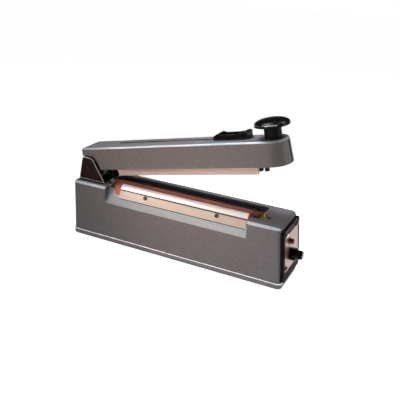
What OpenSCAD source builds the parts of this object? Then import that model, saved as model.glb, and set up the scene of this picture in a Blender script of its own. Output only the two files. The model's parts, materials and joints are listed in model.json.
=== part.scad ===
// Hand-operated impulse sealer: a cast base with a heated sealing platform, and a sprung
// press arm that carries the seal bar, a press knob and a sliding cutter.
// Millimetres. +X runs from the hinge to the timer end, +Z up, origin on the table in the middle.

/* [Base] */
// Length of the base's foot in front of the sealing platform
front_len = 49.5; // [46:0.5:70]
// Width of the base at its foot
base_wid = 68; // [64:1:90]
// Height of the base from the pan's underside to the top face
base_h = 81; // [74:1:100]
// How far the hinge end leans in over the height of the base
draft = 3.1; // [1:0.1:4]
// How far the long walls lean in over the height of the base
side_draft = 0.8; // [0.5:0.1:4]
// How far the timer end leans in over the height of the base
front_draft = 7; // [1:0.1:8]
// Thickness of the cast base walls
wall = 3; // [2.4:0.1:3.6]
// Radius of the base's upright edges
corner_r = 6.5; // [5:0.5:9]
// Rounding of the base's top edges
edge_r = 4; // [2:0.5:5]
// Height of the bottom pan
pan_h = 6.5; // [5.5:0.5:9]
// Thickness of the pan's floor
pan_t = 2; // [1.5:0.1:3]
// How far the pan stands proud of the housing
pan_step = 0.6; // [0.3:0.1:1.2]
// Diameter of a rubber foot
foot_d = 16; // [12:1:18]
// Height of a rubber foot under the pan
foot_h = 3; // [2:0.5:5]

/* [Sealing platform] */
// Length of the platform and of the seal bar
seal_len = 203; // [150:1:305]
// Sideways place of the seal line
seal_y = -8.5; // [-9:0.1:-8]
// Sideways place of the cutting line
cut_y = 3.5; // [3:0.1:4.5]
// Height of the platform bar over the base
plat_rise = 3.7; // [3:0.1:5]
// How far the front slope goes back at the top
recess_depth = 12.8; // [9:0.1:14]
// Height of the front slope
recess_h = 22.5; // [18:0.5:28]
// Width of the heating ribbon
ribbon_w = 3; // [2:0.5:4]
// Thickness of the heating ribbon
ribbon_t = 0.15; // [0.1:0.05:0.3]
// Thickness of the insulating tape under the ribbon
tape_t = 0.25; // [0.15:0.05:0.4]
// Thickness of the brown cover cloth
cloth_t = 0.3; // [0.2:0.05:0.4]
// Thickness of the cloth clamp's sheet
clamp_t = 1.2; // [0.8:0.1:1.6]
// Height of the clamp's front leg
clamp_leg = 14; // [11:0.5:16]

/* [Hinge] */
// How far the hinge pin sits in from the rear end of the top face
pivot_inset = 20; // [19:0.5:24]
// Height of the hinge pin over the base
pivot_rise = 20.8; // [19:0.1:24]
// Diameter of the hinge pin
pin_d = 6; // [5:0.5:7]
// Thickness of the hinge bracket's sheet
bracket_t = 2.5; // [2:0.1:3]
// Outer width over the bracket's two ears
bracket_w = 42.2; // [40:0.1:44]
// Angle of the open arm
open_angle = 11.85; // [8:0.05:13]
// Wire of the return spring
spring_wire = 1.4; // [1:0.1:1.8]
// Middle diameter of the return spring
spring_d = 10; // [8:0.5:11]
// Curls of the return spring
spring_curls = 6; // [4:1:7]

/* [Press arm] */
// Half the arm's width at its top
arm_half = 20.3; // [19.5:0.1:22]
// Depth of the arm from its top to its lower edge
arm_depth = 30.5; // [28:0.1:32]
// How much wider each side of the arm is at its lower edge
arm_draft = 2.35; // [1:0.05:3]
// Height of the arm's top over the hinge pin
arm_top = 25.2; // [24:0.1:27]
// Gap between the closed arm's nose and the front end of the base's top
nose_setback = 0.7; // [0:0.1:6]
// Radius of the nose's corners seen from above
nose_r = 17.9; // [12:0.1:19]
// Rounding of the arm's top edges
arm_edge_r = 2.8; // [2:0.1:3]
// Thickness of the cast arm walls
arm_wall = 2.5; // [2:0.1:2.8]
// Width of the aluminium seal bar
bar_w = 9; // [8.5:0.1:9.5]
// How far the seal bar's near side stands out beyond that width
bar_lip = 3.5; // [1:0.1:3.8]
// Height of the aluminium seal bar
bar_h = 11; // [10:0.5:12]
// Width of the rubber strip
rubber_w = 6; // [5.8:0.1:6.4]
// How far the rubber strip stands out of the bar
rubber_out = 1.8; // [1.2:0.1:2.5]

/* [Press knob] */
// Diameter of the knob's cap
knob_d = 43.5; // [36:0.5:46]
// Diameter of the knob's stem
stem_d = 21.2; // [16:0.1:24]
// Height of the knob's widest rim over the arm
rim_rise = 17.6; // [16:0.1:22]
// Height of the domed cap over the rim
dome_h = 6.6; // [5:0.1:10]
// Distance of the knob from the arm's nose
knob_setback = 18.1; // [18:0.1:24]

/* [Cutter] */
// Length of the cutter's finger slide
slide_len = 46; // [42:0.5:50]
// Width of the cutter's finger slide
slide_w = 18; // [13:0.1:19]
// Height of the slide's end ridges over the arm
slide_h = 9.6; // [9:0.1:12]
// Depth of the finger hollow between the ridges
hollow_depth = 2; // [1:0.1:3]
// Gap between the slide and the front end of its slot at rest
slide_rest = 8; // [6:0.5:12]
// Width of the slot in the arm
slot_w = 4.4; // [4.2:0.1:5]
// Thickness of the blade
blade_t = 0.6; // [0.4:0.05:0.8]

/* [Timer end] */
// How far the end cap stands out of the base
cap_t = 3.8; // [3:0.1:5]
// Width of the panel plate
plate_w = 50; // [42:0.5:51]
// Height of the panel plate
plate_h = 53.5; // [50:0.5:56]
// Thickness of the panel plate
plate_t = 0.9; // [0.8:0.1:1]
// How far the timer knob's axis lies under the plate's middle
timer_drop = 9; // [8:0.5:12]
// Diameter of the timer knob's skirt
skirt_d = 16.5; // [15:0.5:18]
// Length of the timer knob's skirt
skirt_len = 8.5; // [7:0.5:13]
// Diameter of the timer knob's grip
grip_d = 12; // [11:0.5:13]
// Length of the timer knob's grip
grip_len = 7; // [6:0.5:12]
// Diameter of the timer shaft
shaft_d = 6; // [5:0.5:6]
// How far the signal lamp lies over the plate's middle
lamp_rise = 10.5; // [9:0.5:12]
// Diameter of the signal lamp's lens
lens_d = 6.4; // [5:0.1:7]

/* [Hidden] */
$fn = 48;

// Clearances: fixed and running fits, pieces that pass each other, and the closed jaw
fit = 0.05;
pass = 0.3;
jaw_gap = 0.3;
// Overlap that makes two shapes one casting
fuse = 0.5;
// Length past a face for a cut, and of a screw past the wall that it goes through
past = 1;
screw_out = 3;

// Hinge bracket about the pin, and the terminals at the platform's ends
ear_rear = -17.8;
ear_front = 25.4;
hinge_gap = 4.4;
terminal_l = 6.5;
terminal_rear_gap = 6;
terminal_front_gap = 1;

// Length of the base: the platform, what stands behind it and what stands before it
rear_len = pan_step + draft + pivot_inset + ear_front + hinge_gap + terminal_l + terminal_rear_gap;
base_len = rear_len + seal_len + front_len;
seal_mid = (rear_len - front_len) / 2;

// Base walls: the housing's two ends and its half width at height z, and the lean of its ends
lean = atan(draft / base_h);
front_lean = atan(front_draft / base_h);
function shell_front(z) = base_len / 2 - pan_step - front_draft * z / base_h;
function shell_rear(z) = pan_step + draft * z / base_h - base_len / 2;
function shell_y(z) = base_wid / 2 - pan_step - side_draft * z / base_h;
inside_top = base_h - wall;

// Front slope: its plane in y at height z, measured from the vertical
slope_back = shell_y(base_h) - recess_depth;
slope_run = (shell_y(base_h - recess_h) - slope_back) / recess_h;
slope_angle = atan(slope_run);
function slope_y(z) = -slope_back - (base_h - z) * slope_run;
recess_margin = 8.2;
recess_x0 = seal_mid - seal_len / 2 - recess_margin;
recess_short = 1;
recess_x1 = seal_mid + seal_len / 2 - recess_short;

// Platform: ends, levels and the bent profile that cloth and clamp follow
plat_x0 = seal_mid - seal_len / 2;
plat_x1 = seal_mid + seal_len / 2;
plat_top = base_h + plat_rise;
plat_flat = 14.4;
knee_rise = 0.8;
plat_back = seal_y + plat_flat / 2;
plat_front = seal_y - plat_flat / 2;
knee_z = base_h + knee_rise;
cloth_inset = 1;
cloth_drop = 10;
profile = [[plat_back, plat_top], [plat_front, plat_top], [slope_y(knee_z), knee_z],
    [slope_y(base_h - cloth_drop), base_h - cloth_drop]];
ribbon_level = tape_t + ribbon_t;
cloth_level = ribbon_level + cloth_t;
seal_z = plat_top + cloth_level;
clamp_inset_rear = 12;
clamp_inset_front = 4.5;
clamp_low = knee_z - clamp_leg;
clamp_start = 0.25;
clamp_knee = profile[1] * (1 - clamp_start) + profile[2] * clamp_start;
clamp_profile = [clamp_knee, profile[2], [slope_y(clamp_low), clamp_low]];
clamp_screw_drop = 6.5;
clamp_screw_z = base_h - clamp_screw_drop;
clamp_screw_rear = 48.8;
clamp_screw_front = 56.7;
clamp_screw_x = [seal_mid - clamp_screw_rear, seal_mid + clamp_screw_front];

// Board under the platform, and the openings in the housing's top
board_t = 3;
board_lip = 2.5;
board_far_lip = 6;
board_lap = 3.4;
board_margin = 10.8;
open_rear = 14;
open_front = 8.5;
board_front = slope_y(base_h) + board_lap;
board_far = shell_y(base_h) - board_margin;
open_x0 = plat_x0 - open_rear;
open_x1 = plat_x1 + open_front;
notch_in = 2;
guide_w = 11;
guide_over = 0.2;
guide_rise = plat_rise + guide_over;
guide_slot_w = 3;
guide_slot_depth = 3;
board_screw_out = 3.3;
board_screw_in = 20;
board_screws_n = 4;
platform_screw_in = 17;
board_screw_step = (open_x1 - open_x0 - 2 * board_screw_in) / (board_screws_n - 1);
board_screw_y = board_far + board_screw_out;
board_screw_x = [for (i = [0:board_screws_n - 1]) open_x0 + board_screw_in + i * board_screw_step];
platform_screw_x = [plat_x0 + platform_screw_in, seal_mid, plat_x1 - platform_screw_in];

// Hinge, in the base's own frame
pivot_x = shell_rear(base_h) + pivot_inset;
pivot_z = base_h + pivot_rise;
ear_in = bracket_w / 2 - bracket_t;
ear_top = 11.8;
ear_r = 8.5;
ear_rear_r = 3.5;
ear_rear_run = 10;
ear_crown = 1;
bracket_screw_x = [-7, 8];
bracket_screw_y = 7;
spring_x = 19;
spring_top = 8;
spring_h = spring_top - pass + pivot_rise - bracket_t;

// Arm, in its own frame: the pin is the origin, s forward, t up, level with the base when closed
arm_rear = -8.2;
arm_low = arm_top - arm_depth;
arm_nose = shell_front(base_h) - pivot_x - nose_setback;
arm_roof = arm_top - arm_wall;
bar_bottom = seal_z + jaw_gap - pivot_z;
bar_s0 = plat_x0 - pivot_x;
bar_low = bar_bottom + rubber_out;
bar_top = bar_low + bar_h;
groove_depth = 1.5;
bar_post_r = 4;
bar_post_in = 22;
bar_posts = [bar_post_in, seal_len / 2, seal_len - bar_post_in];
lug_t = 4;
lug_out = 15.5;
lug_rim = 2.5;
lug_front = 30;
lug_low = -9;
heel_w = 5;
cup_t = 2;
bush_t = 1.5;
bush_flange = 2;
bush_gap = 0.4;
bush_r = pin_d / 2 + bush_t;
heel_s = arm_rear + fuse;
heel_t = (pass - pivot_rise + bracket_t - heel_s * sin(open_angle)) / cos(open_angle);
knob_s = arm_nose - knob_setback;
stud_d = 6;
slot_s0 = 42;
slide_gap = 9.4;
slide_s1 = knob_s - knob_d / 2 - slide_gap;
slide_s0 = slide_s1 - slide_len;
neck_rear = 12;
neck_front = 2.5;
neck_s0 = slide_s0 + neck_rear;
neck_s1 = slide_s1 - neck_front;
slot_s1 = neck_s1 + slide_rest;
neck_w = slot_w - 2 * pass;
holder_w = 5;
holder_rear = 4;
holder_front = 6;
holder_drop = 3;
holder_s0 = neck_s0 - holder_rear;
holder_s1 = neck_s1 - holder_front;
holder_low = arm_low - holder_drop;
holder_post = 4;
holder_foot = 7;
blade_w = 13;
blade_grip = 6;
blade_point = 4;
blade_reach = 2.6;
blade_tip = bar_bottom - blade_reach;
blade_s = (holder_s0 + holder_s1) / 2;

// Switch: the plunger's place on the base and the post over it
plunger_out = 14;
plunger_x = plat_x1 + plunger_out;
plunger_y = seal_y;
plunger_l = 3;
plunger_w = 5;
post_w = 5;
post_short = 0.6;
post_low = bar_low + post_short;
plunger_top = pivot_z + post_low - pass;
switch_drop = 11;
switch_top = base_h - switch_drop;
switch_l = 20;
switch_w = 6.5;
switch_h = 10.5;
plunger_stroke = 1.5;
tip_d = 2.4;
tip_depth = 1.5;

// Timer end, in the panel's frame: x out of the end wall, z up along it
cap_margin = 2.2;
cap_gap = 1.5;
cap_low = pan_h + cap_gap;
cap_top_gap = 0.5;
cap_high = base_h - edge_r - cap_top_gap;
cap_r = 4;
plate_gap = 3;
plate_r = 2;
plate_z = cap_high - plate_gap - plate_h / 2;
timer_z = plate_z - timer_drop;
lamp_z = plate_z + lamp_rise;
pocket_depth = 1;
plate_face = cap_t - pocket_depth + plate_t;
knob_gap = 0.6;
knob_end_t = 1.2;
shaft_grip = 3.5;
timer_y = -4.5;
lamp_y = -9;
lamp_out = 6.5;
lamp_back = 7;
lens_dome = 1.5;
pot_r = 8.5;
pot_depth = 10;
pot_floor = 1.5;
bush_wall = 0.5;
bush_d = shaft_d + 2 * bush_wall;
bush_out = 2.6;
timer_tip = plate_face + knob_gap + skirt_len + grip_len + knob_end_t;

// Cord inlet, in the rear wall's frame
gland_z = 22;
gland_r = 6;
gland_bore_r = 3.6;
gland_flange_r = 9;
gland_flange_t = 2.5;
gland_bevel = 1;
gland_nut_t = 4;
gland_tail = 9;

// Middle of the whole machine between the timer knob's end and the cord inlet
front_reach = timer_tip * cos(front_lean) - timer_z * sin(front_lean);
rear_reach = gland_flange_t * cos(lean) - gland_z * sin(lean);
base_x = (rear_reach - front_reach) / 2;

module in_base() {
    translate([base_x, 0, foot_h]) children();
}

module in_arm() {
    in_base() translate([pivot_x, 0, pivot_z]) rotate([0, -open_angle, 0]) children();
}

module on_front_wall() {
    translate([shell_front(0), 0, 0]) rotate([0, -front_lean, 0]) children();
}

module on_rear_wall() {
    translate([shell_rear(0), 0, 0]) rotate([0, lean, 0]) mirror([1, 0, 0]) children();
}

module in_panel() {
    in_base() on_front_wall() children();
}

module in_rear() {
    in_base() on_rear_wall() translate([0, 0, gland_z]) rotate([0, 90, 0]) children();
}

// Places children on the front slope, with +Z square to it and z = 0 on its surface
module on_slope(x, z) {
    translate([x, slope_y(z), z]) rotate([90 - slope_angle, 0, 0]) children();
}

// Extrudes a y-z profile along X, and an x-z profile along Y
module along_x(x0, x1) {
    translate([x0, 0, 0]) rotate([90, 0, 90]) linear_extrude(x1 - x0) children();
}

module along_y(y0, y1) {
    translate([0, y1, 0]) rotate([90, 0, 0]) linear_extrude(y1 - y0) children();
}

module box(low, high) {
    translate(low) cube(high - low);
}

module rounded_rect(l, w, r) {
    square([l - 2 * r, w], center = true);
    square([l, w - 2 * r], center = true);
    for (sx = [-1, 1], sy = [-1, 1]) translate([sx * (l / 2 - r), sy * (w / 2 - r)]) circle(r);
}

// Upright corner with a rounded top edge, for hulls
module corner_dome(r, edge) {
    arc = [for (a = [0:15:90]) [r - edge + edge * cos(a), edge * sin(a)]];
    rotate_extrude($fn = 32) polygon(concat([[0, 0]], arc, [[0, edge]]));
}

module corner_disc(r) {
    cylinder(r = r, h = 0.1, $fn = 32);
}

// Screw along -Z with a slotted pan head that seats on z = 0
function head_d(d) = 1.85 * d;
function head_h(d) = 0.62 * d;
module screw(d, len) {
    difference() {
        cylinder(d = head_d(d), h = head_h(d));
        translate([0, 0, head_h(d)]) cube([2 * head_d(d), head_d(d) / 6, head_h(d)], center = true);
    }
    translate([0, 0, -len]) cylinder(d = d, h = len);
}

module hole(d, z0, z1) {
    translate([0, 0, z0]) cylinder(d = d + 2 * fit, h = z1 - z0);
}

// Points of a bent line moved out by d, with mitred corners
function out(p, q) = let (v = q - p) [v[1], -v[0]] / norm(v);
function mitre(p, n1, n2, d) = p + d * (n1 + n2) / (1 + n1 * n2);
function offset_line(pts, d) = let (last = len(pts) - 1) [for (i = [0:last])
    let (n1 = out(pts[max(i - 1, 0)], pts[max(i, 1)]), n2 = out(pts[min(i, last - 1)], pts[min(i + 1, last)]))
    mitre(pts[i], n1, n2, d)];
function reversed(pts) = [for (i = [len(pts) - 1:-1:0]) pts[i]];

// Bent sheet that follows a line, between two levels over it
module sheet(pts, low, high) {
    polygon(concat(offset_line(pts, low), reversed(offset_line(pts, high))));
}

// Housing block with leaning walls; inset gives the hollow
module housing_block(inset, z0, z1) {
    r = corner_r - inset;
    edge = max(edge_r - inset, 1);
    zt = z1 - edge;
    back = inset + r;
    hull() for (s = [-1, 1]) {
        for (x = [shell_rear(z0) + back, shell_front(z0) - back])
            translate([x, s * (shell_y(z0) - back), z0]) corner_disc(r);
        for (x = [shell_rear(zt) + back, shell_front(zt) - back])
            translate([x, s * (shell_y(zt) - back), zt]) corner_dome(r, edge);
    }
}

module slope_cut(depth) {
    low = base_h - 2 * recess_h;
    high = base_h + recess_h;
    move = depth / cos(slope_angle);
    along_x(recess_x0 - depth, recess_x1 + depth) polygon([[slope_y(low) + move, low],
        [slope_y(high) + move, high], [-base_wid, high], [-base_wid, low]]);
}

boss_r = 5;
boss_h = 24;
boss_in = 18;
boss_sink = 1;
boss_cover = 4;
boss_x = base_len / 2 - boss_in;
boss_y = base_wid / 2 - pan_step - wall - boss_r + boss_sink;
pan_screw_d = 4;
// Room past a screw's tip in a blind hole
tip_gap = 1;
module at_bosses() {
    for (sx = [-1, 1], sy = [-1, 1]) translate([sx * boss_x, sy * boss_y, 0]) children();
}

module base_housing() {
    color("dimgray") in_base() difference() {
        union() {
            difference() {
                housing_block(0, pan_h, base_h);
                slope_cut(0);
                difference() {
                    housing_block(wall, pan_h - past, inside_top);
                    slope_cut(wall);
                }
            }
            at_bosses() translate([0, 0, pan_h]) cylinder(r = boss_r, h = boss_h);
        }
        box([open_x0, board_front, inside_top - past], [open_x1, board_far + pass, base_h + past]);
        box([recess_x0 + notch_in, -base_wid, inside_top],
            [recess_x1 - notch_in, board_front + past, base_h + past]);
        at_bosses() hole(pan_screw_d, pan_h - past, pan_h + boss_h - boss_cover);
        plunger_slot();
        translate([plunger_x, plunger_y, 0]) switch_screw_places()
            hole(rivet_d, 0, bracket_sheet + switch_screw_grip + fit);
        for (x = clamp_screw_x) on_slope(x, clamp_screw_z) hole(clamp_screw_d, -3 * wall, past);
        for (x = board_screw_x) translate([x, board_screw_y, 0])
            hole(board_screw_d, inside_top - past, base_h - skin);
        hinge_screw_places() hole(hinge_screw_d, -wall - past, past);
        on_front_wall() panel_window();
        on_rear_wall() translate([0, 0, gland_z]) rotate([0, 90, 0]) hole(2 * gland_r, -2 * wall, past);
    }
}

// Slot beside the platform where the switch plunger stands
slot_extra = 6;
module plunger_slot() {
    box([plunger_x - plunger_l / 2 - pass, plunger_y - plunger_w / 2 - pass, inside_top - past],
        [plunger_x + plunger_l / 2 + slot_extra, plunger_y + plunger_w / 2 + pass, base_h + past]);
}

// Window in the timer end for what stands behind the end cap
window_side = 8;
window_end = 4.5;
window_w = plate_w - 2 * window_side;
window_h = plate_h - 2 * window_end;
module panel_window() {
    box([-2 * wall, -window_w / 2, plate_z - window_h / 2], [past, window_w / 2, plate_z + window_h / 2]);
    panel_screw_places() hole(panel_screw_d, -3 * wall, past);
}

foot_in = 34;
foot_side = 8;
foot_taper = 2;
foot_plug_h = 3;
foot_x = base_len / 2 - foot_in;
foot_y = base_wid / 2 - foot_side - foot_d / 2;
foot_stem_d = 6;
module at_feet() {
    for (sx = [-1, 1], sy = [-1, 1]) translate([sx * foot_x, sy * foot_y, 0]) children();
}

post_r = 3;
post_h = 6;
board_in = 70;
board_mid = base_len / 2 - board_in;
pcb_l = 56;
pcb_w = 44;
post_in = 5;
module at_posts() {
    for (sx = [-1, 1], sy = [-1, 1])
        translate([board_mid + sx * (pcb_l / 2 - post_in), sy * (pcb_w / 2 - post_in), pan_t]) children();
}

module bottom_pan() {
    rim = wall + pan_step + 1;
    color("gray") in_base() difference() {
        union() {
            difference() {
                linear_extrude(pan_h) rounded_rect(base_len, base_wid, corner_r);
                translate([0, 0, pan_t]) linear_extrude(pan_h)
                    rounded_rect(base_len - 2 * rim, base_wid - 2 * rim, corner_r - wall);
            }
            at_bosses() cylinder(r = boss_r, h = pan_h);
        }
        at_bosses() hole(pan_screw_d, -past, pan_h + past);
        at_bosses() hole(head_d(pan_screw_d), -past, head_h(pan_screw_d));
        at_feet() hole(foot_stem_d, -past, pan_h + past);
        strap_screw_places() hole(strap_screw_d, -past, pan_h);
    }
}

module rubber_feet() {
    color("black") in_base() at_feet() {
        translate([0, 0, -foot_h]) cylinder(d1 = foot_d - foot_taper, d2 = foot_d, h = foot_h);
        cylinder(d = foot_stem_d, h = pan_t);
        translate([0, 0, pan_t])
            cylinder(d1 = foot_stem_d + foot_taper, d2 = foot_stem_d - foot_taper, h = foot_plug_h);
    }
}

module pan_screws() {
    seat = head_h(pan_screw_d);
    color("silver") in_base() at_bosses() translate([0, 0, seat]) mirror([0, 0, 1])
        screw(pan_screw_d, pan_h + boss_h - boss_cover - tip_gap - seat);
}

module cap_outline() {
    hull() for (s = [-1, 1]) {
        translate([s * (shell_y(cap_low) - cap_margin - cap_r), cap_low + cap_r]) circle(cap_r, $fn = 32);
        translate([s * (shell_y(cap_high) - cap_margin - cap_r), cap_high - cap_r]) circle(cap_r, $fn = 32);
    }
}

// Round holes through the panel for the timer's bush, the lamp and the screws
module panel_holes() {
    translate([0, timer_y, timer_z]) rotate([0, 90, 0]) hole(bush_d, -past, cap_t + past);
    translate([0, lamp_y, lamp_z]) rotate([0, 90, 0]) hole(lens_d, -past, cap_t + past);
    panel_screw_places() hole(panel_screw_d, -cap_t - past, past + cap_t);
}

module end_cap() {
    color("black") in_panel() difference() {
        along_x(0, cap_t) cap_outline();
        translate([cap_t - pocket_depth, 0, plate_z]) rotate([90, 0, 90]) linear_extrude(pocket_depth + past)
            rounded_rect(plate_w + 2 * pass, plate_h + 2 * pass, plate_r);
        panel_holes();
    }
}

module panel_plate() {
    color("thistle") in_panel() difference() {
        translate([cap_t - pocket_depth, 0, plate_z]) rotate([90, 0, 90]) linear_extrude(plate_t)
            rounded_rect(plate_w, plate_h, plate_r);
        panel_holes();
    }
}

panel_screw_d = 3;
panel_screw_in = 4.5;
module panel_screw_places() {
    screw_y = plate_w / 2 - panel_screw_in;
    screw_z = plate_h / 2 - panel_screw_in;
    for (sy = [-1, 1], sz = [-1, 1])
        translate([plate_face, sy * screw_y, plate_z + sz * screw_z]) rotate([0, 90, 0]) children();
}

module panel_screws() {
    color("silver") in_panel() panel_screw_places() screw(panel_screw_d, plate_face + wall);
}

bezel_w = 1.5;
bezel_h = 1.4;
module lamp_bezel() {
    color("silver") in_panel() translate([plate_face, lamp_y, lamp_z]) rotate([0, 90, 0]) difference() {
        cylinder(d1 = lens_d + 2 * bezel_w, d2 = lens_d + bezel_w, h = bezel_h);
        hole(lens_d, -past, bezel_h + past);
    }
}

module lamp_lens() {
    shoulder = plate_face + lamp_out - lens_dome;
    color("red") in_panel() translate([0, lamp_y, lamp_z]) rotate([0, 90, 0]) {
        translate([0, 0, -lamp_back]) cylinder(d = lens_d, h = lamp_back + shoulder);
        translate([0, 0, shoulder]) cylinder(d1 = lens_d, d2 = lens_d - 1.6 * lens_dome, h = lens_dome);
    }
}

// Solder tags of the inner electrical pieces
tag_w = 1.2;
tag_t = 0.8;
tag_len = 5;
tag_step = 5;
module potentiometer() {
    bush_len = plate_face + bush_out;
    color("darkgray") in_panel() translate([0, timer_y, timer_z]) rotate([0, 90, 0]) difference() {
        union() {
            translate([0, 0, -pot_depth]) cylinder(r = pot_r, h = pot_depth);
            cylinder(d = bush_d, h = bush_len);
            for (i = [-1:1]) translate([pot_r / 2, i * tag_step - tag_w / 2, -pot_depth / 2])
                cube([pot_r, tag_w, tag_t]);
        }
        hole(shaft_d, -pot_depth + pot_floor, bush_len + past);
    }
}

nut_t = 2;
nut_d = bush_d + 4;
module timer_nut() {
    color("silver") in_panel() translate([plate_face, timer_y, timer_z]) rotate([0, 90, 0]) difference() {
        cylinder(d = nut_d, h = nut_t, $fn = 6);
        hole(bush_d, -past, nut_t + past);
    }
}

// Timer board: its sheet, two capacitors, a relay and a triac
pcb_t = 1.6;
smoothing_d = 10;
smoothing_h = 16;
smoothing_x = -8;
smoothing_y = -4;
timing_d = 8;
timing_h = 12;
timing_x = 10;
timing_y = 8;
relay_l = 16;
relay_w = 12;
relay_h = 14;
relay_x = 4;
relay_y = -16;
triac_l = 9;
triac_w = 5;
triac_h = 12;
triac_x = -22;
triac_y = 4;
module timer_board() {
    color("darkgreen") in_base() difference() {
        translate([board_mid, 0, pan_t + post_h]) {
            translate([-pcb_l / 2, -pcb_w / 2, 0]) cube([pcb_l, pcb_w, pcb_t]);
            translate([smoothing_x, smoothing_y, pcb_t]) cylinder(d = smoothing_d, h = smoothing_h);
            translate([timing_x, timing_y, pcb_t]) cylinder(d = timing_d, h = timing_h);
            translate([relay_x, relay_y, pcb_t]) cube([relay_l, relay_w, relay_h]);
            translate([triac_x, triac_y, pcb_t]) cube([triac_l, triac_w, triac_h]);
        }
        at_posts() hole(post_r, 0, post_h + 2 * pcb_t);
    }
}

module board_posts() {
    color("white") in_base() at_posts() {
        cylinder(r = post_r, h = post_h);
        cylinder(d = post_r, h = post_h + pcb_t + 1.5);
    }
}

// Transformer: centre, core outline and window
core_x = -28;
core_l = 66;
core_w = 30;
core_h = 55;
leg = 11;
coil_out = 9;
module transformer_core() {
    color("gray") in_base() translate([core_x, 0, pan_t]) difference() {
        box([-core_l / 2, -core_w / 2, 0], [core_l / 2, core_w / 2, core_h]);
        for (s = [-1, 1]) translate([s * leg * 1.5, 0, core_h / 2])
            cube([leg, core_w + past, core_h - 2 * leg], center = true);
    }
}

module transformer_coil() {
    span = leg * 4 - 2 * pass;
    color("goldenrod") in_base() translate([core_x, 0, pan_t + core_h / 2]) difference() {
        cube([span, core_w + 2 * coil_out, core_h - 2 * leg - 2 * pass], center = true);
        cube([2 * leg + 2 * pass, core_w + 2 * pass, core_h], center = true);
    }
}

strap_t = 1.5;
strap_w = 18;
strap_foot = 12;
strap_screw_d = 4;
strap_screw_x = core_l / 2 + (strap_foot + strap_t) / 2;
module transformer_strap() {
    half = core_l / 2;
    color("silver") in_base() translate([core_x, 0, pan_t]) difference() {
        along_y(-strap_w / 2, strap_w / 2) {
            for (s = [0, 1]) mirror([s, 0]) {
                translate([half, 0]) square([strap_t, core_h + strap_t]);
                translate([half, 0]) square([strap_foot, strap_t]);
            }
            translate([-half - strap_t, core_h]) square([2 * half + 2 * strap_t, strap_t]);
        }
        for (s = [-1, 1]) translate([s * strap_screw_x, 0, 0]) hole(strap_screw_d, -past, strap_t + past);
    }
}

module strap_screw_places() {
    for (s = [-1, 1]) translate([core_x + s * strap_screw_x, 0, 0]) children();
}

module strap_screws() {
    color("silver") in_base() strap_screw_places() translate([0, 0, pan_t + strap_t])
        screw(strap_screw_d, pan_t + strap_t);
}

switch_tag_step = 7;
module micro_switch() {
    color("black") in_base() translate([plunger_x, plunger_y, switch_top]) {
        difference() {
            box([-switch_l / 2, -switch_w / 2, -switch_h], [switch_l / 2, switch_w / 2, 0]);
            hole(tip_d, -tip_depth - plunger_stroke - pass, past);
        }
        for (i = [-1:1]) translate([i * switch_tag_step - tag_t / 2, -tag_w, -switch_h - tag_len])
            cube([tag_t, 2 * tag_w, tag_len + fuse]);
    }
}

// Angle that hangs under the top face, carries the switch and guides the plunger
bracket_sheet = 1.5;
guide_lift = 3;
guide_z = switch_top + guide_lift;
guide_half = 4;
hang_len = 8;
hang_w = 12;
rivet_x = 6;
module switch_bracket() {
    side = switch_w / 2;
    front = switch_l / 2 + hang_len;
    over = guide_z + bracket_sheet;
    color("silver") in_base() translate([plunger_x, plunger_y, 0]) difference() {
        union() {
            box([-switch_l / 2, side, switch_top - switch_h], [front, side + bracket_sheet, over]);
            box([hang_len, side, guide_z], [front, side + bracket_sheet, inside_top]);
            box([hang_len, side, inside_top - bracket_sheet], [front, side + hang_w, inside_top]);
            box([-guide_half, side - switch_w, guide_z], [guide_half, side + fuse, over]);
        }
        box([-plunger_l / 2 - pass, -plunger_w / 2 - pass, guide_z - past],
            [plunger_l / 2 + pass, plunger_w / 2 + pass, over + past]);
        for (s = [-1, 1]) translate([s * rivet_x, side, switch_top - switch_h / 2]) rotate([90, 0, 0])
            hole(rivet_d, -2 * bracket_sheet, past);
        switch_screw_places() hole(rivet_d, -past, 2 * bracket_sheet);
    }
}

// Screws that hold the switch angle up against the top face
rivet_d = 2;
switch_screw_grip = 1.8;
switch_screw_in = 3;
switch_screw_side = 5;
module switch_screw_places() {
    for (x = [hang_len + switch_screw_in, switch_l / 2 + hang_len - switch_screw_in])
        translate([x, switch_w / 2 + hang_w - switch_screw_side, inside_top - bracket_sheet]) children();
}

module bracket_rivets() {
    color("silver") in_base() translate([plunger_x, plunger_y, 0]) {
        for (s = [-1, 1]) translate([s * rivet_x, switch_w / 2 + bracket_sheet, switch_top - switch_h / 2])
            rotate([-90, 0, 0]) {
                cylinder(d = head_d(rivet_d), h = head_h(rivet_d));
                translate([0, 0, -bracket_sheet]) cylinder(d = rivet_d, h = bracket_sheet);
            }
        switch_screw_places() mirror([0, 0, 1]) screw(rivet_d, bracket_sheet + switch_screw_grip);
    }
}

board_screw_d = 3;
platform_screw_d = 3;
// Metal left over a blind screw hole
skin = 0.6;
module platform_board() {
    low = inside_top - board_t;
    color("black") in_base() difference() {
        union() {
            box([open_x0 - board_lip, board_front + past, low],
                [open_x1 + board_lip, board_far + board_far_lip, inside_top]);
            box([open_x0 + pass, board_front + pass, low], [open_x1 - pass, board_far, base_h]);
            along_x(recess_x0 + notch_in + pass, recess_x1 - notch_in - pass)
                polygon([[slope_y(inside_top), inside_top], [board_front + past, inside_top],
                    [board_front + past, base_h], [slope_y(base_h), base_h]]);
        }
        for (x = board_screw_x) translate([x, board_screw_y, 0]) hole(board_screw_d, low - past, base_h);
        for (x = platform_screw_x) translate([x, seal_y, 0])
            hole(platform_screw_d, low - past, base_h + past);
        terminal_screw_places() hole(terminal_screw_d, -terminal_screw_len, past);
    }
}

module board_screws() {
    color("silver") in_base() for (x = board_screw_x) translate([x, board_screw_y, inside_top - board_t])
        mirror([0, 0, 1]) screw(board_screw_d, board_t + wall - skin - tip_gap / 2);
}

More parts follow.
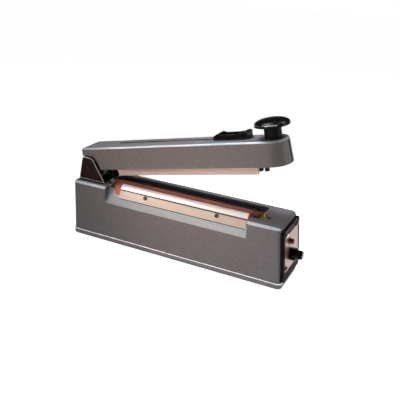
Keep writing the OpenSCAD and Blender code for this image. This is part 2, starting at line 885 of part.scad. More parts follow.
module platform_bar() {
    color("silver") in_base() difference() {
        along_x(plat_x0, plat_x1)
            polygon([profile[0], profile[1], profile[2], [slope_y(base_h), base_h], [plat_back, base_h]]);
        for (x = platform_screw_x) translate([x, seal_y, 0])
            hole(platform_screw_d, base_h - past, plat_top - skin);
    }
}

module platform_screws() {
    color("silver") in_base() for (x = platform_screw_x) translate([x, seal_y, inside_top - board_t])
        mirror([0, 0, 1]) screw(platform_screw_d, board_t + wall + plat_rise - skin - tip_gap / 2);
}

module cutter_guide() {
    color("black") in_base() along_x(plat_x0, plat_x1) difference() {
        translate([plat_back, base_h]) square([guide_w, guide_rise]);
        translate([cut_y - guide_slot_w / 2, base_h + guide_rise - guide_slot_depth])
            square([guide_slot_w, guide_slot_depth + past]);
    }
}

module insulating_tape() {
    color("tan") in_base() along_x(plat_x0, plat_x1) sheet([profile[0], profile[1], profile[2]], 0, tape_t);
}

ribbon_rear = 9;
ribbon_front = 6;
module heating_ribbon() {
    color("gainsboro") in_base() box([plat_x0 - ribbon_rear, seal_y - ribbon_w / 2, plat_top + tape_t],
        [plat_x1 + ribbon_front, seal_y + ribbon_w / 2, plat_top + ribbon_level]);
}

module cover_cloth() {
    color("saddlebrown") in_base() difference() {
        along_x(plat_x0 + cloth_inset, recess_x1 - pass) sheet(profile, ribbon_level, cloth_level);
        for (x = clamp_screw_x) on_slope(x, clamp_screw_z) hole(clamp_screw_d, -past, clamp_t + past);
    }
}

clamp_screw_d = 3;
module cloth_clamp() {
    color("linen") in_base() difference() {
        along_x(plat_x0 + clamp_inset_rear, plat_x1 - clamp_inset_front)
            sheet(clamp_profile, cloth_level, cloth_level + clamp_t);
        for (x = clamp_screw_x) on_slope(x, clamp_screw_z)
            hole(clamp_screw_d, 0, cloth_level + clamp_t + past);
    }
}

module clamp_screws() {
    seat = cloth_level + clamp_t;
    color("gray") in_base() for (x = clamp_screw_x) on_slope(x, clamp_screw_z) translate([0, 0, seat])
        screw(clamp_screw_d, seat + wall + screw_out);
}

// Terminals that hold the ribbon's ends; the front one is a springy leaf
terminal_w = 7;
terminal_t = 1;
terminal_side = 6;
terminal_post_y = 2.5;
terminal_screw_d = 2.5;
terminal_screw_len = 4;
terminal_x0 = plat_x0 - terminal_rear_gap - terminal_l;
terminal_x1 = plat_x1 + terminal_front_gap;
terminal_level = plat_top + tape_t - base_h;
module terminal_screw_places() {
    for (x = [terminal_x0, terminal_x1])
        translate([x + terminal_l / 2, seal_y + terminal_side, base_h + terminal_t]) children();
}

module terminal_foot() {
    box([0, -terminal_w / 2, 0], [terminal_l, terminal_w / 2 + terminal_side, terminal_t]);
}

module rear_terminal() {
    color("gold") in_base() difference() {
        translate([terminal_x0, seal_y, base_h]) {
            terminal_foot();
            box([0, -terminal_w / 2, 0], [terminal_l, terminal_post_y, terminal_level]);
        }
        terminal_screw_places() hole(terminal_screw_d, -terminal_screw_len, past);
    }
}

module front_terminal() {
    color("peru") in_base() difference() {
        translate([terminal_x1, seal_y, base_h]) {
            terminal_foot();
            box([terminal_l - terminal_t, -terminal_w / 2, 0], [terminal_l, terminal_post_y, terminal_level]);
            box([0, -terminal_w / 2, terminal_level - terminal_t],
                [terminal_l, terminal_post_y, terminal_level]);
        }
        terminal_screw_places() hole(terminal_screw_d, -terminal_screw_len, past);
    }
}

module terminal_screws() {
    color("gold") in_base() terminal_screw_places() screw(terminal_screw_d, terminal_screw_len);
}

// Side view of a hinge ear, about the pin
module ear_outline() {
    rear_mid = [ear_rear + ear_rear_run, ear_top - ear_rear_r];
    front_mid = [ear_crown, ear_top - ear_r];
    rear_arc = [for (a = [170:-20:90]) rear_mid + ear_rear_r * [cos(a), sin(a)]];
    front_arc = [for (a = [90:-9:27]) front_mid + ear_r * [cos(a), sin(a)]];
    polygon(concat([[ear_rear, -pivot_rise]], rear_arc, front_arc, [[ear_front, -pivot_rise]]));
}

hinge_screw_d = 4;
module hinge_screw_places() {
    for (x = bracket_screw_x, s = [-1, 1]) translate([pivot_x + x, s * bracket_screw_y, base_h]) children();
}

module hinge_bracket() {
    half = bracket_w / 2;
    color([0.24, 0.16, 0.17]) in_base() difference() {
        translate([pivot_x, 0, pivot_z]) {
            box([ear_rear, -half, -pivot_rise], [ear_front, half, bracket_t - pivot_rise]);
            for (y = [-half, ear_in]) along_y(y, y + bracket_t) ear_outline();
        }
        translate([pivot_x, -half - past, pivot_z]) rotate([-90, 0, 0]) hole(pin_d, 0, bracket_w + 2 * past);
        hinge_screw_places() hole(hinge_screw_d, -past, wall + past);
    }
}

module hinge_screws() {
    color("silver") in_base() hinge_screw_places() translate([0, 0, bracket_t])
        screw(hinge_screw_d, bracket_t + wall + screw_out);
}

pin_head_rim = 1.25;
pin_head_t = 0.9;
module hinge_pin() {
    half = bracket_w / 2;
    color([0.3, 0.24, 0.24]) in_base() translate([pivot_x, 0, pivot_z]) rotate([-90, 0, 0]) {
        translate([0, 0, -half]) cylinder(d = pin_d, h = bracket_w);
        for (s = [0, 1]) mirror([0, 0, s]) translate([0, 0, half])
            cylinder(d1 = pin_d + 2 * pin_head_rim, d2 = pin_d, h = pin_head_t);
    }
}

// Return spring: the wire leaves each seat square to it, then winds at a steady pitch
rings_per_curl = 8;
spring_sides = 6;
spring_ease = 2;
spring_rings = rings_per_curl * spring_curls + 2 * spring_ease;
spring_r = spring_d / 2;
function ramp(i) = min(i, spring_rings - i, spring_ease) / spring_ease;
function turn(i) = i <= 0 ? 0 : turn(i - 1) + (ramp(i - 1) + ramp(i)) / 2;
function spring_angle(i) = turn(i) / turn(spring_rings) * 360 * spring_curls;
function spring_z(i) = spring_wire + i * (spring_h - 2 * spring_wire) / spring_rings;
spring_path = concat([[0, 0]], [for (i = [0:spring_rings]) [spring_angle(i), spring_z(i)]],
    [[360 * spring_curls, spring_h]]);
function spring_point(p) = [spring_r * cos(p[0]), spring_r * sin(p[0]), p[1]];
spring_points = [for (p = spring_path) spring_point(p)];
spring_last = len(spring_points) - 1;
function along(i) = i <= 1 || i >= spring_last - 1 ? [0, 0, 1]
    : let (v = spring_points[i + 1] - spring_points[i - 1]) v / norm(v);
function spring_ring(i) = let (a = spring_path[i][0], side = [cos(a), sin(a), 0], up = cross(along(i), side))
    [for (k = [0:spring_sides - 1]) let (b = 360 * k / spring_sides)
        spring_points[i] + spring_wire / 2 * (cos(b) * side + sin(b) * up)];
function quad(i, k) = let (n = (k + 1) % spring_sides, p = i * spring_sides, q = p + spring_sides)
    [[p + k, p + n, q + n], [p + k, q + n, q + k]];
spring_gap = min([for (i = [0:spring_last], j = [i + rings_per_curl / 2:1:spring_last])
    norm(spring_points[i] - spring_points[j])]) - spring_wire;
echo("least gap between the return spring's curls", spring_gap);

module return_spring() {
    vertices = [for (i = [0:spring_last]) each spring_ring(i)];
    walls = [for (i = [0:spring_last - 1], k = [0:spring_sides - 1]) each quad(i, k)];
    first = [for (k = [1:spring_sides - 2]) [0, k + 1, k]];
    end = spring_last * spring_sides;
    last = [for (k = [1:spring_sides - 2]) [end, end + k, end + k + 1]];
    color("silver") in_base() translate([pivot_x + spring_x, 0, base_h + bracket_t])
        polyhedron(vertices, concat(walls, first, last));
}

module cord_gland() {
    bore_len = gland_tail + gland_flange_t + 2 * past;
    color("black") in_rear() difference() {
        union() {
            cylinder(r1 = gland_flange_r, r2 = gland_flange_r - gland_bevel, h = gland_flange_t);
            translate([0, 0, -gland_tail]) cylinder(r = gland_r, h = gland_tail + fuse);
        }
        translate([0, 0, -gland_tail - past]) cylinder(r = gland_bore_r, h = bore_len);
    }
}

module gland_nut() {
    color("black") in_rear() translate([0, 0, -wall - gland_nut_t]) difference() {
        cylinder(r = gland_flange_r, h = gland_nut_t, $fn = 6);
        hole(2 * gland_r, -past, gland_nut_t + past);
    }
}

// Arm block with leaning sides and a round nose; inset gives the hollow
rear_r = 3;
function flare(t) = arm_draft * (arm_top - t) / arm_depth;
module arm_block(inset, low, high) {
    edge = max(arm_edge_r - inset, 0.8);
    shoulder = high - edge;
    hull() for (y = [-1, 1]) {
        for (t = [low, shoulder]) {
            r = nose_r + flare(t) - inset;
            translate([arm_nose + flare(t) - inset - r, y * (arm_half + flare(t) - inset - r), t])
                if (t == low) corner_disc(r); else corner_dome(r, edge);
            translate([arm_rear + inset + rear_r, y * (arm_half + flare(t) - inset - rear_r), t])
                if (t == low) corner_disc(rear_r); else corner_dome(rear_r, edge);
        }
    }
}

// Side view of the cut that clears the hinge ears as the arm swings
notch_gap = 2.6;
module ear_notch() {
    far = 2 * arm_rear - ear_r;
    roof = ear_top + notch_gap;
    polygon([[far, far], [ear_front + past, far], [ear_front - 4.5, arm_low], [ear_front - 9, arm_low + 11.5],
        [ear_front - 14.5, roof - 1], [ear_front - 19, roof], [far, roof]]);
}

module lug_outline() {
    boss = pin_d + lug_rim;
    polygon([[heel_s, arm_roof + fuse], [heel_s, heel_t], [heel_s + heel_w, heel_t], [boss, lug_low],
        [lug_front, lug_low], [lug_front, arm_roof + fuse]]);
}

module bar_post_places() {
    for (x = bar_posts) translate([bar_s0 + x, seal_y, 0]) children();
}

module arm_shell() {
    color("dimgray") difference() {
        union() {
            in_arm() difference() {
                arm_block(0, arm_low, arm_top);
                arm_block(arm_wall, arm_low - past, arm_roof);
                for (s = [0, 1]) mirror([0, s, 0]) along_y(lug_out, arm_half + 2 * arm_draft) ear_notch();
            }
            in_arm() for (y = [-lug_out, lug_out - lug_t]) along_y(y, y + lug_t) lug_outline();
            in_arm() bar_post_places() translate([0, 0, bar_top])
                cylinder(r = bar_post_r, h = arm_roof + fuse - bar_top);
            intersection() {
                in_base() translate([pivot_x + spring_x, 0, pivot_z + spring_top])
                    cylinder(r = spring_d / 2 + cup_t, h = arm_depth);
                in_arm() box([0, -arm_half, -arm_depth], [3 * spring_x, arm_half, arm_roof + fuse]);
            }
        }
        in_arm() {
            rotate([-90, 0, 0]) translate([0, 0, -arm_half]) hole(2 * bush_r, 0, 2 * arm_half);
            slot_cut();
            translate([knob_s, 0, 0]) hole(stud_d, arm_roof - past, arm_top + past);
            bar_post_places() hole(bar_screw_d, bar_top - past, bar_top + bar_screw_len);
        }
    }
}

module slot_cut() {
    translate([0, cut_y, arm_roof - past]) linear_extrude(arm_wall + 2 * past) {
        translate([slot_s0 + slot_w / 2, -slot_w / 2]) square([slot_s1 - slot_s0 - slot_w, slot_w]);
        for (s = [slot_s0 + slot_w / 2, slot_s1 - slot_w / 2]) translate([s, 0]) circle(d = slot_w);
    }
}

module hinge_bushes() {
    flange = ear_in - bush_gap - lug_out;
    color("goldenrod") in_arm() for (s = [0, 1]) mirror([0, s, 0]) rotate([-90, 0, 0]) difference() {
        union() {
            translate([0, 0, lug_out - lug_t]) cylinder(r = bush_r, h = lug_t);
            translate([0, 0, lug_out]) cylinder(r = bush_r + bush_flange, h = flange);
        }
        hole(pin_d, 0, bracket_w);
    }
}

rim_t = 2.6;
neck_h = 12.4;
stud_cover = 3;
module press_knob() {
    r = knob_d / 2;
    stem = stem_d / 2;
    under = [for (a = [0:10:90])
        [stem + (r - stem) * (1 - cos(a)), neck_h + (rim_rise - rim_t - neck_h) * sin(a)]];
    dome = [for (a = [0:7.5:90]) [r * cos(a), rim_rise + dome_h * sin(a)]];
    color([0.1, 0.1, 0.1]) in_arm() translate([knob_s, 0, arm_top]) difference() {
        rotate_extrude($fn = 64) polygon(concat([[0, 0], [stem, 0]], under, dome));
        hole(stud_d, -past, rim_rise - stud_cover);
    }
}

stud_tail = 8;
washer_t = 1.2;
module knob_stud() {
    color("silver") in_arm() translate([knob_s, 0, arm_roof - stud_tail])
        cylinder(d = stud_d, h = stud_tail + arm_wall + rim_rise - stud_cover - tip_gap);
}

module knob_nut() {
    color("silver") in_arm() translate([knob_s, 0, arm_roof]) mirror([0, 0, 1]) difference() {
        union() {
            cylinder(d = 2 * stud_d, h = washer_t);
            cylinder(d = 1.9 * stud_d, h = stud_d, $fn = 6);
        }
        hole(stud_d, -past, stud_d + past);
    }
}

bar_screw_d = 3;
bar_screw_len = 12;
bar_seat = bar_low + groove_depth + head_h(bar_screw_d);
module seal_bar() {
    color("rosybrown") in_arm() translate([bar_s0, seal_y, 0]) difference() {
        box([0, -bar_w / 2 - bar_lip, bar_low], [seal_len, bar_w / 2, bar_top]);
        box([-past, -rubber_w / 2, bar_low - past], [seal_len + past, rubber_w / 2, bar_low + groove_depth]);
        for (x = bar_posts) translate([x, 0, 0]) {
            hole(bar_screw_d, bar_low, bar_top + past);
            hole(head_d(bar_screw_d), bar_low, bar_seat);
        }
    }
}

module seal_rubber() {
    color("mistyrose") in_arm() box([bar_s0, seal_y - rubber_w / 2, bar_bottom],
        [bar_s0 + seal_len, seal_y + rubber_w / 2, bar_low + groove_depth]);
}

module bar_screws() {
    color("silver") in_arm() bar_post_places() translate([0, 0, bar_seat]) mirror([0, 0, 1])
        screw(bar_screw_d, bar_top - bar_seat + bar_screw_len - tip_gap);
}

module switch_post() {
    s = plunger_x - pivot_x;
    color("black") in_arm() box([s - post_w / 2, plunger_y - post_w / 2, post_low],
        [s + post_w / 2, plunger_y + post_w / 2, arm_roof]);
}

// Side view of the finger slide: end ridges with a hollow between them
ridge_len = 6.4;
slide_foot = 2.5;
function slide_top(x) = let (span = slide_len - 2 * ridge_len, u = (x - ridge_len) / span)
    slide_h - (u > 0 && u < 1 ? hollow_depth * (1 - cos(360 * u)) / 2 : 0);
module slide_outline() {
    steps = 24;
    crown = [for (i = [2:steps - 2]) let (x = i * slide_len / steps) [x, slide_top(x)]];
    polygon(concat([[0, pass], [pass, slide_foot]], crown,
        [[slide_len - pass, slide_foot], [slide_len, pass]]));
}

module cutter_slide() {
    color([0.1, 0.1, 0.1]) in_arm() difference() {
        union() {
            translate([slide_s0, 0, arm_top]) along_y(cut_y - slide_w / 2, cut_y + slide_w / 2)
                slide_outline();
            box([neck_s0, cut_y - neck_w / 2, arm_roof - pass],
                [neck_s1, cut_y + neck_w / 2, arm_top + pass + fuse]);
        }
        slide_screw_places() hole(slide_screw_d, -past, slide_screw_up);
    }
}

slide_screw_d = 2.2;
slide_screw_up = 7;
slide_screw_half = 7;
module slide_screw_places() {
    for (s = [blade_s - slide_screw_half, blade_s + slide_screw_half])
        translate([s, cut_y, arm_roof - pass]) children();
}

holder_cap = 3;
module blade_holder() {
    color("dimgray") in_arm() difference() {
        box([holder_s0, cut_y - holder_w / 2, holder_low],
            [holder_s1, cut_y + holder_w / 2, arm_roof - pass]);
        box([holder_s0 + holder_post, cut_y - holder_w, holder_low + holder_foot],
            [holder_s1 - holder_post, cut_y + holder_w, arm_roof - pass - holder_cap]);
        slide_screw_places() hole(slide_screw_d, -holder_cap - past, past);
        box([blade_s - blade_w / 2, cut_y - blade_t / 2, holder_low - past],
            [blade_s + blade_w / 2, cut_y + blade_t / 2, holder_low + blade_grip]);
    }
}

module cutter_blade() {
    half = blade_w / 2;
    top = holder_low + blade_grip;
    shoulder = blade_tip + blade_point;
    color("lightsteelblue") in_arm() translate([blade_s, 0, 0])
        along_y(cut_y - blade_t / 2, cut_y + blade_t / 2)
            polygon([[-half, top], [-half, shoulder], [0, blade_tip], [half, shoulder], [half, top]]);
}

module slide_screws() {
    color("silver") in_arm() slide_screw_places() translate([0, 0, -holder_cap]) mirror([0, 0, 1])
        screw(slide_screw_d, holder_cap + slide_screw_up - tip_gap);
}

module in_timer() {
    in_panel() translate([plate_face + knob_gap, timer_y, timer_z]) rotate([0, 90, 0]) children();
}

module timer_knob() {
    flutes = 12;
    flute_d = 2;
    skirt_r = skirt_d / 2;
    grip_r = grip_d / 2;
    bevel = 1;
    total = skirt_len + grip_len;
    color([0.08, 0.08, 0.08]) in_timer() difference() {
        rotate_extrude() polygon([[0, 0], [skirt_r, 0], [skirt_r, skirt_len - 2.5 * bevel],
            [skirt_r - bevel, skirt_len - bevel], [grip_r, skirt_len], [grip_r - 0.8 * bevel, total],
            [0, total]]);
        hole(nut_d + 2, -past, bush_out);
        hole(shaft_d, -past, skirt_len + shaft_grip + pass);
        for (i = [0:flutes - 1]) rotate([0, 0, i * 360 / flutes])
            translate([grip_r + flute_d / 4, 0, skirt_len + bevel]) cylinder(d = flute_d, h = grip_len);
    }
}

end_rim = 1.3;
module timer_knob_cap() {
    color("silver") in_timer() translate([0, 0, skirt_len + grip_len])
        cylinder(d1 = grip_d - 2 * end_rim, d2 = grip_d - 3 * end_rim, h = knob_end_t);
}

module timer_shaft() {
    inner_end = pot_floor + pass - pot_depth;
    outer_end = plate_face + knob_gap + skirt_len + shaft_grip;
    color("silver") in_panel() translate([0, timer_y, timer_z]) rotate([0, 90, 0])
        translate([0, 0, inner_end]) cylinder(d = shaft_d, h = outer_end - inner_end);
}

module switch_plunger() {
    flange = 1.2;
    travel = plunger_stroke + pass;
    shoulder = guide_z + bracket_sheet + travel;
    half_l = plunger_l / 2;
    half_w = plunger_w / 2;
    color("khaki") in_base() translate([plunger_x, plunger_y, 0]) {
        translate([0, 0, switch_top - tip_depth]) cylinder(d = tip_d, h = tip_depth + travel + fuse);
        box([-half_l, -half_w, switch_top + travel], [half_l, half_w, plunger_top]);
        box([-half_l - flange, -half_w, shoulder], [half_l + flange, half_w, shoulder + flange]);
    }
}

base_housing();
bottom_pan();
rubber_feet();
pan_screws();
end_cap();
panel_plate();
panel_screws();
lamp_bezel();
lamp_lens();
potentiometer();
timer_nut();
timer_board();
board_posts();
transformer_core();
transformer_coil();
transformer_strap();
strap_screws();
micro_switch();
switch_bracket();
bracket_rivets();
platform_board();
board_screws();
platform_bar();
platform_screws();
cutter_guide();
insulating_tape();
heating_ribbon();
cover_cloth();
cloth_clamp();
clamp_screws();
rear_terminal();
front_terminal();
terminal_screws();
hinge_bracket();
hinge_screws();
hinge_pin();
return_spring();
cord_gland();
gland_nut();
arm_shell();
hinge_bushes();
press_knob();
knob_stud();
knob_nut();
seal_bar();
seal_rubber();
bar_screws();
switch_post();
cutter_slide();
blade_holder();
cutter_blade();
slide_screws();
timer_knob();
timer_knob_cap();
timer_shaft();
switch_plunger();
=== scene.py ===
import json
import math
import bmesh
import bpy
from mathutils import Matrix, Vector

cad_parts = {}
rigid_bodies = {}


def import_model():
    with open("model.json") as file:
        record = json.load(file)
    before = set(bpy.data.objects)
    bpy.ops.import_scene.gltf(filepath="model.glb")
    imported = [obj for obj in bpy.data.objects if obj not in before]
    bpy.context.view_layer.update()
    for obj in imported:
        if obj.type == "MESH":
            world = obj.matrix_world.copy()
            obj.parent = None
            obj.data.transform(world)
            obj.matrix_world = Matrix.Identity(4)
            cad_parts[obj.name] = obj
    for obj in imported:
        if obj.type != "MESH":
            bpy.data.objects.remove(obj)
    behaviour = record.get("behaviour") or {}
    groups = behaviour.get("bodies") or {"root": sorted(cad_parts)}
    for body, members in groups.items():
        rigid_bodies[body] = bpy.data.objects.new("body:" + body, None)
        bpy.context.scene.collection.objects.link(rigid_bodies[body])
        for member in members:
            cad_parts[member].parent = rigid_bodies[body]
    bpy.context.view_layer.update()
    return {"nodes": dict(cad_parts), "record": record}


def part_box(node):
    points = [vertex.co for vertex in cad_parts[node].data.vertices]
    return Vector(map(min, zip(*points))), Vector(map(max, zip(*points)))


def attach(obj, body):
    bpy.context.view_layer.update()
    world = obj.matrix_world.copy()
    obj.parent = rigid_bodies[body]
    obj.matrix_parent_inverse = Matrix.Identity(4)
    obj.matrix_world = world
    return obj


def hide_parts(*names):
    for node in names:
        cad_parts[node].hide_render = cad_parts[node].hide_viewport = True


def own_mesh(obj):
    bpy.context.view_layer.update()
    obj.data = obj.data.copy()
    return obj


for old in list(bpy.data.objects):
    bpy.data.objects.remove(old)
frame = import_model()
scene = bpy.context.scene
scene.view_settings.view_transform = "Standard"
nodes = frame["nodes"]
bodyOf = {n: b for b, members in frame["record"]["behaviour"]["bodies"].items() for n in members}
mm = 0.001


def boxOf(node):
    return [Vector(corner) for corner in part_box(node)]


# where the pieces' own millimetres start: base on its pan, top at the platform's rear end, pin, arm about
# its pin, panel at the foot of the timer end
armTilt = math.radians(11.85)
panelLean = math.atan(7 / 81)
panelInset = 0.6 * mm
barRise = 3.7 * mm
pan, bar = boxOf("bottom_pan"), boxOf("platform_bar")
pin = sum(boxOf("hinge_pin"), Vector()) / 2
size = Matrix.Scale(mm, 4)
raised, leaning = (Matrix.Rotation(-a, 4, "Y") for a in (armTilt, panelLean))
place = {
    "base": Matrix.Translation(((pan[0].x + pan[1].x) / 2, 0, pan[0].z)) @ size,
    "top": Matrix.Translation((bar[0].x, 0, bar[1].z - barRise)) @ size,
    "pin": Matrix.Translation(pin) @ size,
    "arm": Matrix.Translation(pin) @ raised @ size,
    "panel": Matrix.Translation((pan[1].x - panelInset, 0, pan[0].z)) @ leaning @ size,
}
print("frame loaded:", len(nodes), "nodes")


# how far a node reaches along each axis, in the millimetres of one of those places
def spanOf(node, where):
    back = place[where].inverted()
    points = [back @ corner.co for corner in nodes[node].data.vertices]
    return [(min(p[k] for p in points), max(p[k] for p in points)) for k in range(3)]


# camera, fitted to the picture's edges; its place in mm is from the table under the hinge pin
camera = {
    "eye": (460.4, -609.25, 378.55),
    "yaw": 25.96,
    "pitch": 23.6,
    "roll": -2.12,
    "lens": 50.31,
    "sensor": 36,
}


def makeCamera(c):
    yaw, pitch, roll = (math.radians(c[k]) for k in ("yaw", "pitch", "roll"))
    forward = Vector((-math.sin(yaw) * math.cos(pitch), math.cos(yaw) * math.cos(pitch), -math.sin(pitch)))
    right = Vector((math.cos(yaw), math.sin(yaw), 0))
    down = forward.cross(right)
    across = math.cos(roll) * right + math.sin(roll) * down
    below = -math.sin(roll) * right + math.cos(roll) * down
    data = bpy.data.cameras.new("camera")
    data.lens = c["lens"]
    data.sensor_width = c["sensor"]
    eye = bpy.data.objects.new("camera", data)
    scene.collection.objects.link(eye)
    turn = Matrix((across, -below, -forward)).transposed().to_4x4()
    eye.matrix_world = Matrix.Translation(Vector((pin.x, 0, 0)) + Vector(c["eye"]) * mm) @ turn
    scene.camera = eye


makeCamera(camera)
print("camera placed")


def linear(code):
    parts = [int(code[i:i + 2], 16) / 255 for i in (1, 3, 5)]
    return [c / 12.92 if c <= 0.04045 else ((c + 0.055) / 1.055) ** 2.4 for c in parts] + [1]


def addNode(tree, kind, settings=None, links=None):
    node = tree.nodes.new(kind)
    for key, value in (settings or {}).items():
        if key in node.inputs:
            node.inputs[key].default_value = value
        else:
            setattr(node, key, value)
    for key, socket in (links or {}).items():
        tree.links.new(socket, node.inputs[key])
    return node


def startMaterial(name, settings):
    material = bpy.data.materials.new(name)
    material.use_nodes = True
    shader = material.node_tree.nodes["Principled BSDF"]
    for key, value in settings.items():
        shader.inputs[key].default_value = linear(value) if isinstance(value, str) else value
    return material


# one layer of surface detail: grain is its real size in mm, stretch draws it out along x, y or z,
# bump is its depth in mm, colours and rough are its low and high ends
def addLayer(material, kind, grain, stretch=(1, 1, 1), colours=None, rough=None, bump=0,
             ends=(0.3, 0.7), more=None):
    tree = material.node_tree
    shader = tree.nodes["Principled BSDF"]
    where = addNode(tree, "ShaderNodeTexCoord")
    scale = addNode(tree, "ShaderNodeMapping", {"Scale": [1000 / grain / s for s in stretch]},
                    {"Vector": where.outputs["Object"]})
    texture = addNode(tree, kind, {"Scale": 1, **(more or {})}, {"Vector": scale.outputs[0]})
    value = texture.outputs["Fac"]
    if colours:
        ramp = addNode(tree, "ShaderNodeValToRGB", links={"Fac": value})
        for stop, at, code in zip(ramp.color_ramp.elements, ends, colours):
            stop.position = at
            stop.color = linear(code)
        tree.links.new(ramp.outputs["Color"], shader.inputs["Base Color"])
    if rough:
        span = addNode(tree, "ShaderNodeMapRange", {"From Min": ends[0], "From Max": ends[1],
                       "To Min": rough[0], "To Max": rough[1]}, {"Value": value})
        tree.links.new(span.outputs["Result"], shader.inputs["Roughness"])
    if bump:
        dents = addNode(tree, "ShaderNodeBump", {"Strength": 1, "Distance": bump * mm}, {"Height": value})
        before = shader.inputs["Normal"].links
        if before:
            tree.links.new(before[0].from_socket, dents.inputs["Normal"])
        tree.links.new(dents.outputs["Normal"], shader.inputs["Normal"])


noise, waves = "ShaderNodeTexNoise", "ShaderNodeTexWave"

# hammered enamel sprayed on a casting: a half gloss over soft dimples, drawn 1.8 mm wide so that they show
hammeredEnamel = startMaterial("hammered_enamel_on_casting", {"IOR": 1.5, "Specular IOR Level": 0.3,
                                                              "Coat Weight": 0.2, "Coat Roughness": 0.2})
addLayer(hammeredEnamel, noise, 1.8, colours=("#66615f", "#787270"),
         rough=(0.42, 0.54), bump=0.012, more={"Detail": 3})

# the sloped recess under the clamp: the same grey enamel painted paler, as the face that catches the light
litSlopeEnamel = startMaterial("enamel_painted_lit_on_slope", {"IOR": 1.5})
addLayer(litSlopeEnamel, noise, 1.4, stretch=(3, 1, 1), colours=("#a9b1b3", "#b8c0c2"),
         rough=(0.36, 0.48), bump=0.006)

# rounded edges painted a pale teal grey as their highlight
edgeHighlightEnamel = startMaterial("enamel_painted_edge_highlight",
                           {"IOR": 1.5, "Coat Weight": 0.5, "Coat Roughness": 0.2})
addLayer(edgeHighlightEnamel, noise, 1.8, stretch=(4, 1, 1), colours=("#aebdc1", "#c8d5d8"),
         rough=(0.36, 0.46), bump=0.008)

# black painted as shade: the inside of the arm, its lugs, the cutter's slot and the bracket's floor between
# its ears
paintedShadeBlack = startMaterial("black_painted_shade", {"IOR": 1.5, "Specular IOR Level": 0.1})
addLayer(paintedShadeBlack, noise, 2.5, colours=("#080707", "#110f0f"), rough=(0.55, 0.7), bump=0.02)

# stove enamel on pressed sheet: the same grey, smoother than the castings
panEnamel = startMaterial("stove_enamel_on_sheet", {"IOR": 1.5})
addLayer(panEnamel, noise, 3, colours=("#6b6867", "#7b7776"), rough=(0.34, 0.44), bump=0.01)

# the pan's rolled lip, coloured near white as a painted highlight: a bright line all round the foot
lipHighlightSteel = startMaterial("steel_lip_painted_highlight", {"Metallic": 1.0})
addLayer(lipHighlightSteel, noise, 2, stretch=(8, 8, 1), colours=("#f3f0ee", "#fffefd"), rough=(0.2, 0.34))

# black phenolic, compression moulded and buffed: deep black, its highlights streaked by the buffing
blackPhenolic = startMaterial("buffed_black_phenolic", {"IOR": 1.55, "Specular IOR Level": 0.07})
addLayer(blackPhenolic, noise, 5, stretch=(1, 4, 1), colours=("#010101", "#030202"),
         rough=(0.2, 0.36), bump=0.05)

# the same phenolic where hands have polished it: a wet gloss along the rim of the press knob
wornPhenolic = startMaterial("hand_polished_phenolic", {"IOR": 1.55, "Specular IOR Level": 1.0})
addLayer(wornPhenolic, noise, 5, stretch=(1, 4, 1), colours=("#010101", "#030202"),
         rough=(0.12, 0.24), bump=0.04)

# black ABS with a spark-eroded mould grain, about 0.4 mm, drawn at 0.8 mm so that it shows
blackAbs = startMaterial("grained_black_abs", {"IOR": 1.46, "Specular IOR Level": 0.2})
addLayer(blackAbs, noise, 0.8, colours=("#0b0a0b", "#151314"), rough=(0.42, 0.6), bump=0.03)

# end cap in brown black phenolic, left as moulded: dull, with flecks of its filler
brownPhenolic = startMaterial("moulded_brown_phenolic", {"IOR": 1.5, "Specular IOR Level": 0.05})
addLayer(brownPhenolic, noise, 2.2, colours=("#070505", "#1d1010"),
         rough=(0.55, 0.7), bump=0.02, ends=(0.42, 0.66))

# anodised aluminium sheet, brushed across: warm silver with fine lines
panelSheet = startMaterial("brushed_anodised_aluminium", {"Metallic": 0.7})
addLayer(panelSheet, noise, 0.5, stretch=(1, 30, 1), colours=("#8c6b5c", "#a27e6e"),
         rough=(0.34, 0.46), bump=0.006)

# satin anodised aluminium strip: pale and warm, rolled along its length
clampStrip = startMaterial("satin_anodised_aluminium", {"Metallic": 0.1})
addLayer(clampStrip, noise, 0.6, stretch=(40, 1, 1), colours=("#b9ae9f", "#c6bcae"),
         rough=(0.34, 0.46), bump=0.006)

# the clamp's upper strip: its aluminium painted nearly white as the highlight where it faces the light
clampHighlightStrip = startMaterial("aluminium_painted_highlight", {"Metallic": 0.5})
addLayer(clampHighlightStrip, noise, 0.6, stretch=(40, 1, 1), colours=("#f6f3f0", "#fffefd"),
         rough=(0.3, 0.42), bump=0.004)

# extruded aluminium bar, bronze anodised: straight die lines along its length
barExtrusion = startMaterial("bronze_anodised_extrusion", {"Metallic": 0.15})
addLayer(barExtrusion, noise, 0.9, stretch=(60, 1, 1), colours=("#c6a99a", "#d6bdaf"),
         rough=(0.32, 0.45), bump=0.01)

# steel sheet under a thick plum coloured phosphate coat: dark and dull with faint clouds
plumSteel = startMaterial("phosphated_steel_sheet", {"IOR": 1.5, "Specular IOR Level": 0.06})
addLayer(plumSteel, noise, 5, colours=("#241512", "#33201b"), rough=(0.34, 0.48), bump=0.01)

# steel edge painted near white as a highlight: a thin bright line round each ear
edgeHighlightSteel = startMaterial("steel_edge_painted_highlight", {"Metallic": 0.15})
addLayer(edgeHighlightSteel, noise, 1.6, stretch=(1, 6, 1), colours=("#e0d8d2", "#fbf8f5"), rough=(0.25, 0.4))

# zinc plated steel screws: pale grey with a faint yellow bloom
zincSteel = startMaterial("zinc_plated_steel", {"Metallic": 1.0})
addLayer(zincSteel, noise, 2, colours=("#a9a69e", "#cac8c0"), rough=(0.22, 0.36), bump=0.006)

# oil blacked steel screws: nearly black with worn brown highs
blackedSteel = startMaterial("oil_blacked_steel", {"Metallic": 0.7})
addLayer(blackedSteel, noise, 1.5, colours=("#2b2725", "#4a433f"), rough=(0.3, 0.45), bump=0.008)

# drawn spring wire, oil blacked: dark with paler rubbed patches
springWire = startMaterial("oil_blacked_spring_wire", {"Metallic": 0.8})
addLayer(springWire, noise, 1.2, colours=("#1d1b1b", "#3a3736"), rough=(0.28, 0.42))

# turned brass, slightly tarnished
turnedBrass = startMaterial("turned_brass", {"Metallic": 1.0})
addLayer(turnedBrass, noise, 2.5, colours=("#a9823f", "#cfae68"), rough=(0.2, 0.36), bump=0.005)

